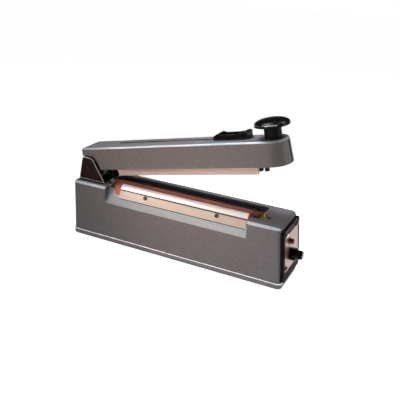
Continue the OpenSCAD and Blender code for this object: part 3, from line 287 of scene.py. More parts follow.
# tinned brass clip: pinkish white where the tin has worn
tinnedBrass = startMaterial("hot_tinned_brass", {"Metallic": 0.5})
addLayer(tinnedBrass, noise, 2, colours=("#e6cfc6", "#f7ece6"), rough=(0.22, 0.36), bump=0.005)

# rolled copper strip with heat colour
rolledCopper = startMaterial("rolled_copper", {"Metallic": 1.0})
addLayer(rolledCopper, noise, 2, stretch=(3, 1, 1), colours=("#a5552f", "#cc7f52"), rough=(0.24, 0.4))

# sintered bronze bush: matt with open pores
sinteredBronze = startMaterial("sintered_bronze", {"Metallic": 0.9})
addLayer(sinteredBronze, noise, 0.7, colours=("#7d5a30", "#a67f4a"), rough=(0.4, 0.6), bump=0.02)

# glass cloth coated with fluoropolymer: brown, threads 0.6 mm apart drawn at 1.1 mm so that they show
coatedCloth = startMaterial("coated_glass_cloth", {"IOR": 1.38, "Sheen Weight": 0.15})
addLayer(coatedCloth, noise, 14, stretch=(2, 1, 1), colours=("#984631", "#b65b41"),
         rough=(0.34, 0.5), ends=(0.25, 0.75))
addLayer(coatedCloth, waves, 2.2, bump=0.04, more={"bands_direction": "X", "Distortion": 0.3})
addLayer(coatedCloth, waves, 2.2, bump=0.04, more={"bands_direction": "Y", "Distortion": 0.3})

# black coated glass tape under the ribbon: dull, with the weave just showing
glassTape = startMaterial("woven_black_glass_tape", {"IOR": 1.45, "Specular IOR Level": 0.3})
addLayer(glassTape, noise, 1.2, stretch=(4, 1, 1), colours=("#100f12", "#1d1b20"),
         rough=(0.5, 0.7), bump=0.03)

# rolled resistance ribbon
ribbonAlloy = startMaterial("rolled_resistance_ribbon", {"Metallic": 1.0})
addLayer(ribbonAlloy, noise, 0.8, stretch=(30, 1, 1), colours=("#8a8480", "#b4aea8"), rough=(0.2, 0.34))

# moulded silicone strip: dull red brown
siliconeStrip = startMaterial("moulded_silicone", {"IOR": 1.41})
addLayer(siliconeStrip, noise, 3, stretch=(6, 1, 1), colours=("#6d5145", "#83675a"),
         rough=(0.5, 0.66), bump=0.02)

# hardened blade strip, ground bright
groundSteel = startMaterial("ground_blade_steel", {"Metallic": 1.0})
addLayer(groundSteel, noise, 0.4, stretch=(1, 1, 14), colours=("#b6b8bb", "#dcdee0"),
         rough=(0.12, 0.24), bump=0.004)

# milled aluminium
milledAluminium = startMaterial("milled_aluminium", {"Metallic": 0.9})
addLayer(milledAluminium, noise, 0.7, stretch=(20, 1, 1), colours=("#a7a8aa", "#c9cacc"),
         rough=(0.28, 0.4), bump=0.006)

# clear red acrylic: light runs round inside it
redAcrylic = startMaterial("moulded_red_acrylic", {"IOR": 1.49, "Transmission Weight": 0.35})
addLayer(redAcrylic, noise, 4, colours=("#6e0a0d", "#98141a"), rough=(0.06, 0.14))

# spun foil disc on the timer knob's end
spunFoil = startMaterial("spun_aluminium_foil", {"Metallic": 0.75})
addLayer(spunFoil, noise, 0.8, colours=("#a99d95", "#c9beb6"), rough=(0.28, 0.4), bump=0.005)

# a dark red brown band, matt, with a pebbled skin
darkBrownBand = startMaterial("dark_brown_band", {"IOR": 1.5, "Specular IOR Level": 0.05})
addLayer(darkBrownBand, noise, 2.4, colours=("#180c0c", "#2c1716"), rough=(0.5, 0.65), bump=0.03)

# screen printed ink on the panel
dialInk = startMaterial("screen_printed_ink", {"IOR": 1.5})
addLayer(dialInk, noise, 1, colours=("#241d1c", "#332b29"), rough=(0.5, 0.65))
pointerInk = startMaterial("white_filled_line", {"IOR": 1.5})
addLayer(pointerInk, noise, 1, colours=("#cfccc6", "#e6e3dd"), rough=(0.5, 0.65))

# moulded feet in black rubber
footRubber = startMaterial("moulded_black_rubber", {"IOR": 1.5})
addLayer(footRubber, noise, 1.4, colours=("#111111", "#1c1b1b"), rough=(0.6, 0.78), bump=0.03)

# what stays inside: laminations, taped coil, circuit board, grey mouldings
ironLaminations = startMaterial("varnished_iron_laminations", {"Metallic": 0.5})
addLayer(ironLaminations, noise, 0.7, stretch=(30, 1, 30), colours=("#2c2b2c", "#4b494a"),
         rough=(0.35, 0.5), bump=0.03)
tapedCoil = startMaterial("polyester_coil_tape", {"IOR": 1.5})
addLayer(tapedCoil, noise, 5, stretch=(1, 1, 0.4), colours=("#a87a20", "#c99a3a"),
         rough=(0.25, 0.4), bump=0.03)
boardLacquer = startMaterial("lacquered_circuit_board", {"IOR": 1.5})
addLayer(boardLacquer, noise, 4, colours=("#123d22", "#1f5a34"), rough=(0.2, 0.36), bump=0.01)
greyMoulding = startMaterial("grained_grey_abs", {"IOR": 1.46})
addLayer(greyMoulding, noise, 1, colours=("#4c4e52", "#616367"), rough=(0.4, 0.55), bump=0.02)
print("materials mixed:", len(bpy.data.materials))


def newPiece(name, mesh, looks):
    mesh.materials.clear()
    for look in looks:
        mesh.materials.append(look)
    piece = bpy.data.objects.new(name, mesh)
    scene.collection.objects.link(piece)
    return piece


def fromPoints(name, where, points, faces, *looks):
    mesh = bpy.data.meshes.new(name)
    mesh.from_pydata([place[where] @ Vector(p) for p in points], [], faces)
    work = bmesh.new()
    work.from_mesh(mesh)
    bmesh.ops.recalc_face_normals(work, faces=work.faces)
    work.to_mesh(mesh)
    work.free()
    return newPiece(name, mesh, looks)


def bevelEdges(piece, edge, steps, angle=40):
    soft = piece.modifiers.new("edges", "BEVEL")
    soft.width = edge * mm
    soft.segments = steps
    soft.limit_method = "ANGLE"
    soft.angle_limit = math.radians(angle)


# bakes the modifiers into the mesh, then shades: flats stay flat and curves flow
def settle(piece, angle=32):
    ready = piece.evaluated_get(bpy.context.evaluated_depsgraph_get())
    mesh = bpy.data.meshes.new_from_object(ready)
    piece.modifiers.clear()
    piece.data = mesh
    for face in mesh.polygons:
        face.use_smooth = True
    mesh.set_sharp_from_angle(angle=math.radians(angle))
    even = piece.modifiers.new("shade", "WEIGHTED_NORMAL")
    even.keep_sharp = True
    return piece


# an added piece goes with a node: on its body
def goWith(piece, node):
    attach(piece, bodyOf[node])


def standFor(piece, node):
    goWith(piece, node)
    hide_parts(node)
    return piece


# a node's own shape with its edges broken, so that they catch the light as real edges do; doubled points
# nearer than the weld are joined, and facets flatter than the angle run together first
weld = 0.003 * mm
facetAngle = math.radians(0.6)


def breakEdges(node, look, edge):
    mesh = nodes[node].data.copy()
    for spare in [a for a in mesh.attributes if a.name == "custom_normal"]:
        mesh.attributes.remove(spare)
    work = bmesh.new()
    work.from_mesh(mesh)
    bmesh.ops.remove_doubles(work, verts=work.verts, dist=weld)
    bmesh.ops.dissolve_limit(work, angle_limit=facetAngle, verts=work.verts, edges=work.edges)
    work.to_mesh(mesh)
    work.free()
    piece = newPiece(node + "_edged", mesh, [look])
    bevelEdges(piece, edge, 2)
    return standFor(settle(piece), node)


# walls between loops of equal length, with a lid at both ends unless the last loop joins the first
def loftFaces(loops, count, closed=False):
    faces = []
    for i in range(loops if closed else loops - 1):
        a, b = i * count, (i + 1) % loops * count
        faces += [(a + k, a + (k + 1) % count, b + (k + 1) % count, b + k) for k in range(count)]
    if not closed:
        faces.append(tuple(range(count)))
        faces.append(tuple(range((loops - 1) * count, loops * count)))
    return faces


# round plan of a box with corner radius r, as points anticlockwise
def roundedPlan(halfLong, halfWide, r, steps):
    points = []
    for k, (sx, sy) in enumerate(((1, 1), (-1, 1), (-1, -1), (1, -1))):
        for i in range(steps + 1):
            a = math.pi / 2 * (k + i / steps)
            points.append((sx * (halfLong - r) + r * math.cos(a), sy * (halfWide - r) + r * math.sin(a)))
    return points


# turned shape: rings of (radius, height); swell may shape the radius round the axis
def turned(rings, count, swell=None):
    points = []
    for i, (r, h) in enumerate(rings):
        for k in range(count):
            a = 2 * math.pi * k / count
            q = r + (swell(i, a) if swell else 0)
            points.append((q * math.cos(a), q * math.sin(a), h))
    return points


def arc(cx, cy, rx, ry, a0, a1, steps):
    return [(cx + rx * math.cos(math.radians(a0 + (a1 - a0) * i / steps)),
             cy + ry * math.sin(math.radians(a0 + (a1 - a0) * i / steps))) for i in range(steps + 1)]


# castings and pressings whose solids already have the shape; on the housing, the slope under the clamp is
# painted paler as its lit face, and the rounded long edges of the top are painted pale as highlights
housingPaint = {"edge": 0.5, "slope": (0, -0.8655, 0.5009), "alike": 0.9995, "smallest": 1e-6, "aside": 0.35,
                "rounded": (0.35, 0.94), "edgeDeep": 4.5, "panEdge": 0.6}


def paintHousing(p):
    piece = breakEdges("base_housing", hammeredEnamel, p["edge"])
    piece.data.materials.append(litSlopeEnamel)
    piece.data.materials.append(edgeHighlightEnamel)
    slope = Vector(p["slope"])
    low, high = p["rounded"]
    edgeFrom = boxOf("base_housing")[1].z - p["edgeDeep"] * mm
    for face in piece.data.polygons:
        facing = face.normal
        # the slope takes the paler enamel painted as its lit face
        onSlope = facing.dot(slope) > p["alike"] and face.area > p["smallest"]
        # rounded long edges of the top take the painted edge highlight
        rounded = abs(facing.y) > p["aside"] and low < facing.z < high and face.center.z > edgeFrom
        face.material_index = 1 if onSlope else 2 if rounded else 0
    breakEdges("bottom_pan", panEnamel, p["panEdge"])


paintHousing(housingPaint)

# the arm's hollow, its lugs and the cutter's slot are painted black as shade; look is how far past a face to
# look for the hollow or the cutter's slot
armInside = {"edge": 0.5, "wall": 2.6, "half": 20.3, "flare": 0.077, "roof": 22.7, "top": 26.3, "low": -5.3,
             "rear": -6, "nose": 286.5, "noseRadius": 17.9, "lugs": 16.5, "look": 1.5,
             "slot": ((41, 244), (1.2, 5.8)), "flat": 0.9, "rounded": (0.35, 0.94), "edgeWide": 6,
             "rearward": -0.5}


def paintArm(a):
    piece = breakEdges("arm_shell", hammeredEnamel, a["edge"])
    piece.data.materials.append(paintedShadeBlack)
    piece.data.materials.append(edgeHighlightEnamel)
    back = place["arm"].inverted()
    (s0, s1), (y0, y1) = a["slot"]
    low, high = a["rounded"]
    for face in piece.data.polygons:
        facing = (back.to_3x3() @ face.normal).normalized()
        s, y, h = back @ face.center + a["look"] * facing
        half = a["half"] - a["wall"] + a["flare"] * (a["roof"] - h)
        bow = max(s - (a["nose"] - a["noseRadius"]), 0)
        half -= a["noseRadius"] - math.sqrt(max(a["noseRadius"] ** 2 - bow ** 2, 0))
        hollow = s > a["rear"] and abs(y) < half and a["low"] < h < a["roof"]
        slot = s0 < s < s1 and y0 < y < y1 and a["roof"] <= h < a["top"] and facing.z < a["flat"]
        # hollow, slot walls and lugs are painted black as shade
        black = hollow or slot or (h <= a["low"] and abs(y) < a["lugs"])
        rim = abs(y) > a["half"] - a["edgeWide"] or bow > 0
        # rounded rim edges of the arm take the painted edge highlight
        rounded = low < facing.z < high and facing.x > a["rearward"] and rim
        face.material_index = 1 if black else 2 if rounded else 0


paintArm(armInside)
print("castings dressed")

# press knob: a turned mushroom on a stem; worn counts the rings that hands have polished, and footRings are
# (out from the stem, up)
pressKnob = {"at": 268.4, "foot": 25.2, "capRadius": 21.75, "stemRadius": 10.6, "neck": 12.4, "rim": 17.6,
             "rimThick": 2.6, "rimRound": 0.8, "dome": 6.6, "sides": 96, "worn": (26, 29),
             "footRings": ((-0.6, 0), (-0.2, 0.1), (0, 0.5), (0, 1.5)), "coveShort": 0.7, "coveSteps": 14,
             "domeShort": 0.15, "domeFrom": 4, "domeTurn": 84, "domeSteps": 18}


def makePressKnob(k):
    r, stem = k["capRadius"], k["stemRadius"]
    low = k["rim"] - k["rimThick"]
    # the stem's foot, the cove under the cap, its rounded rim and the dome
    rings = [(stem + out, up) for out, up in k["footRings"]]
    cove, steps = r - k["coveShort"] - stem, k["coveSteps"]
    rings += [(stem + cove * (1 - math.cos(a)), k["neck"] + (low - k["neck"]) * math.sin(a))
              for a in (math.pi / 2 * i / steps for i in range(steps + 1))]
    q = k["rimRound"]
    rings += arc(r - q, low + q, q, q, -90, 20, 6)
    steps = k["domeSteps"]
    rings += [((r - k["domeShort"]) * math.cos(a), k["rim"] + k["dome"] * math.sin(a))
              for a in (math.radians(k["domeFrom"] + k["domeTurn"] * i / steps) for i in range(steps + 1))]
    points = [(k["at"] + x, y, k["foot"] + z) for x, y, z in turned(rings, k["sides"])]
    faces = loftFaces(len(rings), k["sides"])
    piece = fromPoints("press_knob_turned", "arm", points, faces, blackPhenolic, wornPhenolic)
    first, last = k["worn"]
    for i, face in enumerate(piece.data.polygons):
        face.material_index = 1 if first <= i // k["sides"] < last else 0
    return standFor(settle(piece, 40), "press_knob")


knob = makePressKnob(pressKnob)

# cutter slide: a moulded tray with a sloped toe, a finger hollow and raised end ridges; ramps are how far the
# hollow takes to deepen from its sides, toe and heel, and parting is (out, up) down the walls
cutterSlide = {"start": 191.25, "foot": 25.5, "long": 46, "wide": 18, "middle": 3.5, "cells": (92, 36),
               "profile": ((0, 5.0), (2.0, 6.0), (5.0, 7.4), (6.6, 7.9), (8.6, 7.9), (10.2, 7.2), (12, 6.5),
                           (30, 6.5), (32.5, 6.9), (36, 7.3), (38.5, 7.9), (41, 8.8), (43.5, 9.1), (46, 8.6)),
               "hollow": (10.5, 40), "hollowDeep": 3.2, "ramps": (1.8, 3, 9), "wall": 2.1, "round": 1.1,
               "parting": ((0.0, 3.2), (-0.35, 2.9), (-0.35, 2.5), (0.0, 2.2), (0.0, 0.0)),
               "neck": (203.25, 234.7, 3.8), "neckReach": (-3, 0.6), "touch": 1e-6}


def easeBetween(points, x):
    for (x0, y0), (x1, y1) in zip(points, points[1:]):
        if x <= x1:
            u = (x - x0) / (x1 - x0)
            return y0 + (y1 - y0) * (3 * u * u - 2 * u ** 3)
    return points[-1][1]


def rampUp(x):
    x = min(max(x, 0), 1)
    return x * x * (3 - 2 * x)


def makeCutterSlide(c):
    (nx, ny), r = c["cells"], c["round"]
    toe, heel = c["hollow"]
    aside, fore, aft = c["ramps"]
    points = []
    for i in range(nx + 1):
        for j in range(ny + 1):
            # cells crowd towards the outer edges, so that their rounding is smooth
            u, v = ((1 - math.cos(math.pi * t)) / 2 for t in (i / nx, j / ny))
            x, y = u * c["long"], (v - 0.5) * c["wide"]
            z = easeBetween(c["profile"], x)
            side = c["wide"] / 2 - abs(y)
            inside = rampUp((side - c["wall"]) / aside) * rampUp((x - toe) / fore) * rampUp((heel - x) / aft)
            z -= c["hollowDeep"] * inside
            gap = min(side, x, c["long"] - x)
            if gap < r:
                z -= r - math.sqrt(max(r * r - (r - gap) ** 2, 0))
            points.append((x, y, z))
    row = ny + 1
    faces = [(a, a + row, a + row + 1, a + 1) for i in range(nx) for a in (i * row + j for j in range(ny))]
    edge = [i * row for i in range(nx + 1)] + [nx * row + j for j in range(1, row)]
    edge += [i * row + ny for i in range(nx - 1, -1, -1)] + [j for j in range(ny - 1, 0, -1)]
    n = len(points)
    count = len(edge)
    # walls step in at a parting line
    for out, z in c["parting"]:
        for e in edge:
            x, y, top = points[e]
            sx = 1 if x > c["long"] / 2 else -1
            sy = 1 if y > 0 else -1
            onX = min(x, c["long"] - x) < c["touch"]
            onY = c["wide"] / 2 - abs(y) < c["touch"]
            points.append((x + (sx * out if onX else 0), y + (sy * out if onY else 0), min(z, top)))
    ring = list(edge)
    for level in range(len(c["parting"])):
        below = [n + level * count + k for k in range(count)]
        faces += [(ring[k], ring[(k + 1) % count], below[(k + 1) % count], below[k]) for k in range(count)]
        ring = below
    faces.append(tuple(ring))
    start = len(points)
    s0, s1, w = c["neck"]
    for z in c["neckReach"]:
        for s, y in ((s0, -w / 2), (s1, -w / 2), (s1, w / 2), (s0, w / 2)):
            points.append((s - c["start"], y, z))
    faces += [tuple(start + k for k in face) for face in loftFaces(2, 4)]
    points = [(c["start"] + x, c["middle"] + y, c["foot"] + z) for x, y, z in points]
    piece = fromPoints("cutter_slide_moulded", "arm", points, faces, blackPhenolic)
    standFor(settle(piece, 50), "cutter_slide")


makeCutterSlide(cutterSlide)

# timer knob: a plain skirt and a fluted grip, with a white line to read the dial by
timerKnob = {"aside": -4.5, "axis": 37.75, "from": 4.3, "skirt": 8.25, "skirtLong": 8.5, "grip": 6.0,
             "gripLong": 7, "flutes": 12, "fluteDeep": 0.7, "fluteNarrow": 1.5, "sides": 144,
             "lineHalf": 0.45, "line": (1.5, 2.8), "lineDeep": (0.03, -0.6)}


def makeTimerKnob(t):
    s, g = t["skirt"], t["grip"]
    step = t["skirtLong"]
    end = step + t["gripLong"]
    # skirt and its rounded shoulder, then the grip; share is how much of the flutes' depth each ring has
    rings = [(s - 0.8, 0), (s - 0.2, 0.15), (s, 0.6), (s, step - 2.6), (s - 0.25, step - 1.9)]
    rings += [(s - 0.9, step - 1.2), (g + 0.6, step - 0.3), (g + 0.15, step + 0.1), (g, step + 0.6)]
    rings += [(g, step + 1.2), (g - 0.1, step + 2), (g - 0.25, end - 3), (g - 0.4, end - 0.9)]
    rings += [(g - 0.65, end - 0.25), (g - 1.2, end), (g - 1.9, end)]
    share = {8: 0.2, 9: 0.6, 10: 1, 11: 1, 12: 1, 13: 0.7, 14: 0.2}

    def flute(i, a):
        return -share.get(i, 0) * t["fluteDeep"] * max(0, math.cos(t["flutes"] * a)) ** t["fluteNarrow"]
    points = [(t["from"] + z, t["aside"] + y, t["axis"] + x) for x, y, z in turned(rings, t["sides"], flute)]
    piece = fromPoints("timer_knob_fluted", "panel", points, loftFaces(len(rings), t["sides"]), blackPhenolic)
    standFor(settle(piece, 40), "timer_knob")
    w, (high, low) = t["lineHalf"], t["lineDeep"]
    across = ((-w, high), (w, high), (w, low), (-w, low))
    lines = [(x, t["aside"] + y, t["axis"] + s + z)
             for x in (t["from"] + t["line"][0], t["from"] + step - t["line"][1]) for y, z in across]
    mark = fromPoints("timer_knob_line", "panel", lines, loftFaces(2, 4), pointerInk)
    goWith(mark, "timer_knob")


makeTimerKnob(timerKnob)

# dial on the panel plate: ticks all round the knob and plain numbers
dial = {"face": 3.7, "aside": -4.5, "axis": 37.75, "inner": 10.0, "outer": 12.2, "tickHalf": 0.22,
        "tickThick": 0.05, "numbers": 14.2, "height": 2.6, "numberThick": 0.04, "sweep": 270, "marks": 9}


def makeDial(d):
    points, faces = [], []
    turns = [math.radians(-d["sweep"] / 2 + d["sweep"] * i / (d["marks"] - 1)) for i in range(d["marks"])]
    half = d["tickHalf"]
    for a in turns:
        along = Vector((0, math.sin(a), math.cos(a)))
        aside = Vector((0, math.cos(a), -math.sin(a)))
        n = len(points)
        for x in (d["face"] - d["tickThick"], d["face"] + d["tickThick"]):
            for r, w in ((d["inner"], -half), (d["outer"], -half), (d["outer"], half), (d["inner"], half)):
                p = along * r + aside * w
                points.append((x, d["aside"] + p.y, d["axis"] + p.z))
        faces += [tuple(n + k for k in face) for face in loftFaces(2, 4)]
    goWith(fromPoints("dial_ticks", "panel", points, faces, dialInk), "panel_plate")
    for i, a in enumerate(turns):
        letter = bpy.data.curves.new("number", "FONT")
        letter.body = str(i + 1)
        letter.size = d["height"]
        letter.align_x = "CENTER"
        letter.align_y = "CENTER"
        letter.extrude = d["numberThick"]
        shape = bpy.data.objects.new("number", letter)
        scene.collection.objects.link(shape)
        bpy.context.view_layer.update()
        mesh = bpy.data.meshes.new_from_object(shape.evaluated_get(bpy.context.evaluated_depsgraph_get()))
        bpy.data.objects.remove(shape)
        r = d["numbers"]
        middle = Vector((d["face"], d["aside"] + math.sin(a) * r, d["axis"] + math.cos(a) * r))
        facing = Matrix(((0, 0, 1), (1, 0, 0), (0, 1, 0))).to_4x4()
        mesh.transform(place["panel"] @ Matrix.Translation(middle) @ facing)
        goWith(newPiece("dial_number_%d" % (i + 1), mesh, [dialInk]), "panel_plate")


makeDial(dial)
print("knobs, slide and dial made")

# cover cloth: stretched over the platform and down the slope, held by the clamp; the ridge is the ribbon
# under it
coverCloth = {"from": 1, "to": 201.7, "cells": (160, 44), "thick": 0.3, "tab": 8,
              "path": ((-5.6, 4.25), (-14.6, 4.25), (-16.3, 3.85), (-18.6, 2.0), (-19.9, 0.6), (-25.8, -9.5)),
              "ridge": 0.15, "ridgeAt": -8.5, "ridgeHalf": 1.5, "ridgeEase": 0.8, "flatTo": -13}


def alongPath(path, share):
    steps = [math.dist(a, b) for a, b in zip(path, path[1:])]
    left = share * sum(steps)
    for (a, b), step in zip(zip(path, path[1:]), steps):
        if left <= step + 1e-9:
            u = left / step
            return a[0] + (b[0] - a[0]) * u, a[1] + (b[1] - a[1]) * u
        left -= step
    return path[-1]


def makeCoverCloth(c):
    nx, ny = c["cells"]
    ease = c["ridgeEase"]
    points = []
    long = sum(math.dist(a, b) for a, b in zip(c["path"], c["path"][1:]))
    for i in range(nx + 1):
        x = c["from"] + (c["to"] - c["from"]) * i / nx
        near = min(x - c["from"], c["tab"])
        short = c["tab"] - math.sqrt(c["tab"] ** 2 - (c["tab"] - near) ** 2)
        for j in range(ny + 1):
            y, z = alongPath(c["path"], (1 - short / long) * j / ny)
            if y > c["flatTo"]:
                z -= c["ridge"] * (1 - rampUp((c["ridgeHalf"] + ease - abs(y - c["ridgeAt"])) / ease))
            points.append((x, y, z))
    row = ny + 1
    faces = [(a, a + 1, a + row + 1, a + row) for i in range(nx) for a in (i * row + j for j in range(ny))]
    mesh = bpy.data.meshes.new("cover_cloth_stretched")
    mesh.from_pydata([place["top"] @ Vector(p) for p in points], [], faces)
    piece = newPiece("cover_cloth_stretched", mesh, [coatedCloth])
    body = piece.modifiers.new("thickness", "SOLIDIFY")
    body.thickness = c["thick"] * mm
    body.offset = 0
    settle(piece, 60)
    standFor(piece, "cover_cloth")


makeCoverCloth(coverCloth)

# cloth clamp: a strip folded over the platform's edge, and the face plate that it laps; the flange and upper
# face are painted near white as highlight, and the lap's groove between them is painted black as shade; off
# is how far each corner stands out from the slope
clothClamp = {"from": 12, "to": 198.5, "slopeBack": -19.8, "slopeRun": 0.5787, "thick": 1.15, "edge": 0.18,
              "flange": ((-17.5, 4.66), (-20.5, 2.45)), "flangeSlant": 0.7,
              "face": ((1.6, 2.2), (-1.5, 2.2), (-1.55, 1.2), (-2.95, 1.2), (-3.0, 1.95), (-12.5, 1.95)),
              "back": ((-12.5, 0.7), (1.2, 0.75)),
              "shadeStrip": ((-11, 0.12), (-13.7, 0.12), (-13.7, 0.8), (-11, 0.8)), "shadeStripShort": 0.4}


def makeClothClamp(c):
    def onSlope(rows):
        return [(c["slopeBack"] + c["slopeRun"] * z - off, z) for z, off in rows]
    section = list(c["flange"]) + onSlope(c["face"]) + onSlope(c["back"])
    (y, z), deep = c["flange"][0], c["flangeSlant"] * c["thick"]
    section.append((y + deep, z - deep))
    points = [(x, y, z) for x in (c["from"], c["to"]) for y, z in section]
    faces = loftFaces(2, len(section))
    piece = fromPoints("cloth_clamp_folded", "top", points, faces, clampStrip, clampHighlightStrip, blackAbs)
    # sides run in the order of the section: flange and upper face painted near white as highlight, three
    # groove sides painted black as shade, the rest
    for face, look in zip(piece.data.polygons, (1, 1, 1, 2, 2, 2)):
        face.material_index = look
    bevelEdges(piece, c["edge"], 2, 60)
    standFor(settle(piece, 25), "cloth_clamp")
    # a black strip under the clamp's lower edge, painted shade: the dark line beneath it
    strip = onSlope(c["shadeStrip"])
    short = c["shadeStripShort"]
    points = [(x, y, z) for x in (c["from"] + short, c["to"] - short) for y, z in strip]
    shadeStrip = fromPoints("clamp_shade_strip", "top", points, loftFaces(2, len(strip)), blackAbs)
    goWith(shadeStrip, "platform_board")


makeClothClamp(clothClamp)
print("cloth and clamp laid")

# return spring: wound wire whose end curls lie nearly flat on their seats; it shortens as the arm closes
returnSpring = {"ahead": 19, "low": -18.3, "high": 7.7, "radius": 5, "wire": 1.4, "curls": 6, "sides": 12,
                "perCurl": 30, "flatEnds": 0.075, "keep": 0.79}


def makeReturnSpring(s):
    count = s["curls"] * s["perCurl"]
    path = []
    for i in range(count + 1):
        u = i / count
        a = 2 * math.pi * s["curls"] * u
        rise = u - s["flatEnds"] * math.sin(2 * math.pi * u)
        z = s["low"] + s["wire"] / 2 + (s["high"] - s["low"] - s["wire"]) * rise
        path.append(Vector((s["ahead"] + s["radius"] * math.cos(a), s["radius"] * math.sin(a), z)))
    points = []
    for i, p in enumerate(path):
        along = (path[min(i + 1, count)] - path[max(i - 1, 0)]).normalized()
        out = Vector((p.x - s["ahead"], p.y, 0)).normalized()
        up = along.cross(out)
        for k in range(s["sides"]):
            b = 2 * math.pi * k / s["sides"]
            points.append(p + s["wire"] / 2 * (math.cos(b) * out + math.sin(b) * up))
    piece = fromPoints("return_spring_wound", "pin", points, loftFaces(count + 1, s["sides"]), springWire)
    settle(piece, 50)
    standFor(piece, "return_spring")
    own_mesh(piece)


makeReturnSpring(returnSpring)

# hinge bracket: one sheet bent to a U, its ears sheared to shape
hingeBracket = {"rear": -17.8, "front": 25.4, "half": 21.1, "thick": 2.5, "base": -20.8, "top": 13,
                "bend": 3.2, "coin": 0.5, "foot": 1.6, "border": 1, "spare": 2, "splay": 0.05, "under": 3,
                "rearArc": (-7.8, 8.3, 3.5), "frontArc": (1, 3.3, 8.5), "inward": 0.2, "edgeOn": 0.9,
                "rearward": -0.3, "footOn": 0.5, "clear": 1}


def makeHingeBracket(h):
    half, t, low, r, coin, spare = (h[k] for k in ("half", "thick", "base", "bend", "coin", "spare"))
    # the sheet is coined nearly square outside and keeps its bend inside
    outside = [(-half, h["top"]), (-half, low + h["foot"]), (-half, low + coin), (-half + coin, low),
               (half - coin, low), (half, low + coin), (half, low + h["foot"]), (half, h["top"])]
    inside = [(half - t, h["top"])] + arc(half - t - r, low + t + r, r, r, 360, 270, 8) \
        + arc(-half + t + r, low + t + r, r, r, 270, 180, 8) + [(-half + t, h["top"])]
    section = outside + inside
    points = [(x, y, z) for x in (h["rear"] - spare, h["front"] + spare) for y, z in section]
    faces = loftFaces(2, len(section))
    piece = fromPoints("hinge_bracket_bent", "pin", points, faces, plumSteel, edgeHighlightSteel, paintedShadeBlack)
    x0, z0, r0 = h["rearArc"]
    x1, z1, r1 = h["frontArc"]
    ear = [(h["rear"] - h["splay"], low - h["under"]), (h["rear"], low)] + arc(x0, z0, r0, r0, 170, 90, 8)
    ear += arc(x1, z1, r1, r1, 90, 27, 12)
    ear += [(h["front"], low), (h["front"] + h["splay"], low - h["under"])]
    points = [(x, y, z) for y in (-half - spare, half + spare) for x, z in ear]
    blank = fromPoints("ear_blank", "pin", points, loftFaces(2, len(ear)), edgeHighlightSteel)
    shear = piece.modifiers.new("shear", "BOOLEAN")
    shear.operation = "INTERSECT"
    shear.object = blank
    shear.solver = "EXACT"
    bevelEdges(piece, h["border"], 1, 50)
    settle(piece, 30)
    bpy.data.objects.remove(blank)
    # the ears' top and front edges and their coined feet are painted near white as highlights, and the floor
    # between the ears is painted black as shade
    for face in piece.data.polygons:
        facing, up = face.normal, face.center.z - pin.z
        onEar = abs(face.center.y) > (half - t - h["inward"]) * mm
        edge = abs(facing.y) < h["edgeOn"] and facing.x > h["rearward"] and up > (low + h["clear"]) * mm
        foot = abs(facing.x) < h["footOn"] and up < (low + h["foot"]) * mm
        face.material_index = (1 if edge or foot else 0) if onEar else 2
    standFor(piece, "hinge_bracket")


makeHingeBracket(hingeBracket)

# a black slab under the bracket, painted shade: the black line round its foot
hingeShadePad = {"rear": -15.5, "front": 24.5, "half": 26.6, "low": -20.75, "high": -20.2, "corner": 2,
            "edge": 0.12}


def makeHingeShadePad(p):
    middle, halfLong = (p["rear"] + p["front"]) / 2, (p["front"] - p["rear"]) / 2
    plan = roundedPlan(halfLong, p["half"], p["corner"], 6)
    points = [(middle + x, y, z) for z in (p["low"], p["high"]) for x, y in plan]
    # black slab painted as the shadow under the bracket
    pad = fromPoints("hinge_shade_pad", "pin", points, loftFaces(2, len(points) // 2), footRubber)
    bevelEdges(pad, p["edge"], 1)
    goWith(settle(pad), "rubber_feet")


makeHingeShadePad(hingeShadePad)
print("hinge and spring made")

# seal bar: an extrusion with a grooved near side; near is (in from that side, up from its foot)
sealBar = {"near": ((0.5, 0), (0, 0.4), (0, 2.2), (0.55, 2.35), (0.55, 2.95), (0, 3.1), (0, 5.4), (0.5, 5.6),
                    (0.5, 6.3), (0, 6.5)),
           "rubberGap": 0.1, "shift": (3, 5.5), "skirt": 1.4, "skirtThick": 3, "skirtLean": 0.4, "edge": 0.2}
endBlock = {"long": 4.4, "wide": 4.0, "tall": 4.6, "above": 1.2, "into": 0.5, "shoulder": 0.7, "taper": 0.7,
            "edge": 0.4}


def makeSealBar(b, e):
    (s0, s1), (y0, y1), (h0, h1) = spanOf("seal_bar", "arm")
    rubber, gap = spanOf("seal_rubber", "arm"), b["rubberGap"]
    s0, s1 = s0 + b["shift"][0], s1 + b["shift"][1]
    skirt = h0 - b["skirt"]
    far, near, high = rubber[1][1] + gap, rubber[1][0] - gap, rubber[2][1]
    inner = y0 + b["skirtThick"]
    section = [(y0 + inward, skirt + up) for inward, up in b["near"]] + [(y0, h1), (y1, h1), (y1, h0)]
    section += [(far, h0), (far, high), (near, high), (near, h0), (inner, h0)]
    section.append((inner - b["skirtLean"], skirt))
    points = [(s, y, h) for s in (s0, s1) for y, h in section]
    piece = fromPoints("seal_bar_extruded", "arm", points, loftFaces(2, len(section)), barExtrusion)
    bevelEdges(piece, b["edge"], 2, 50)
    standFor(settle(piece, 25), "seal_bar")
    # black block that holds the bar's front end, tapered at its nose
    points = []
    for s, less in ((s1 - e["into"], 0), (s1 + e["long"] * e["shoulder"], 0), (s1 + e["long"], e["taper"])):
        left, right = (y0 + y1 - e["wide"]) / 2 + less, (y0 + y1 + e["wide"]) / 2 - less
        foot, head = h0 + e["above"] + less, h0 + e["above"] + e["tall"] - less
        points += [(s, left, foot), (s, right, foot), (s, right, head), (s, left, head)]
    stub = fromPoints("seal_bar_end_block", "arm", points, loftFaces(3, 4), blackAbs)
    bevelEdges(stub, e["edge"], 2)
    goWith(settle(stub), "switch_post")


makeSealBar(sealBar, endBlock)

# rolled lip of the pan, coloured near white as a painted highlight along the seam: a bright line under the
# housing
panLip = {"halfLong": 159.25, "halfWide": 34, "corner": 6.5, "low": 5.9, "high": 7.3, "thick": 1.2,
          "edge": 0.2}


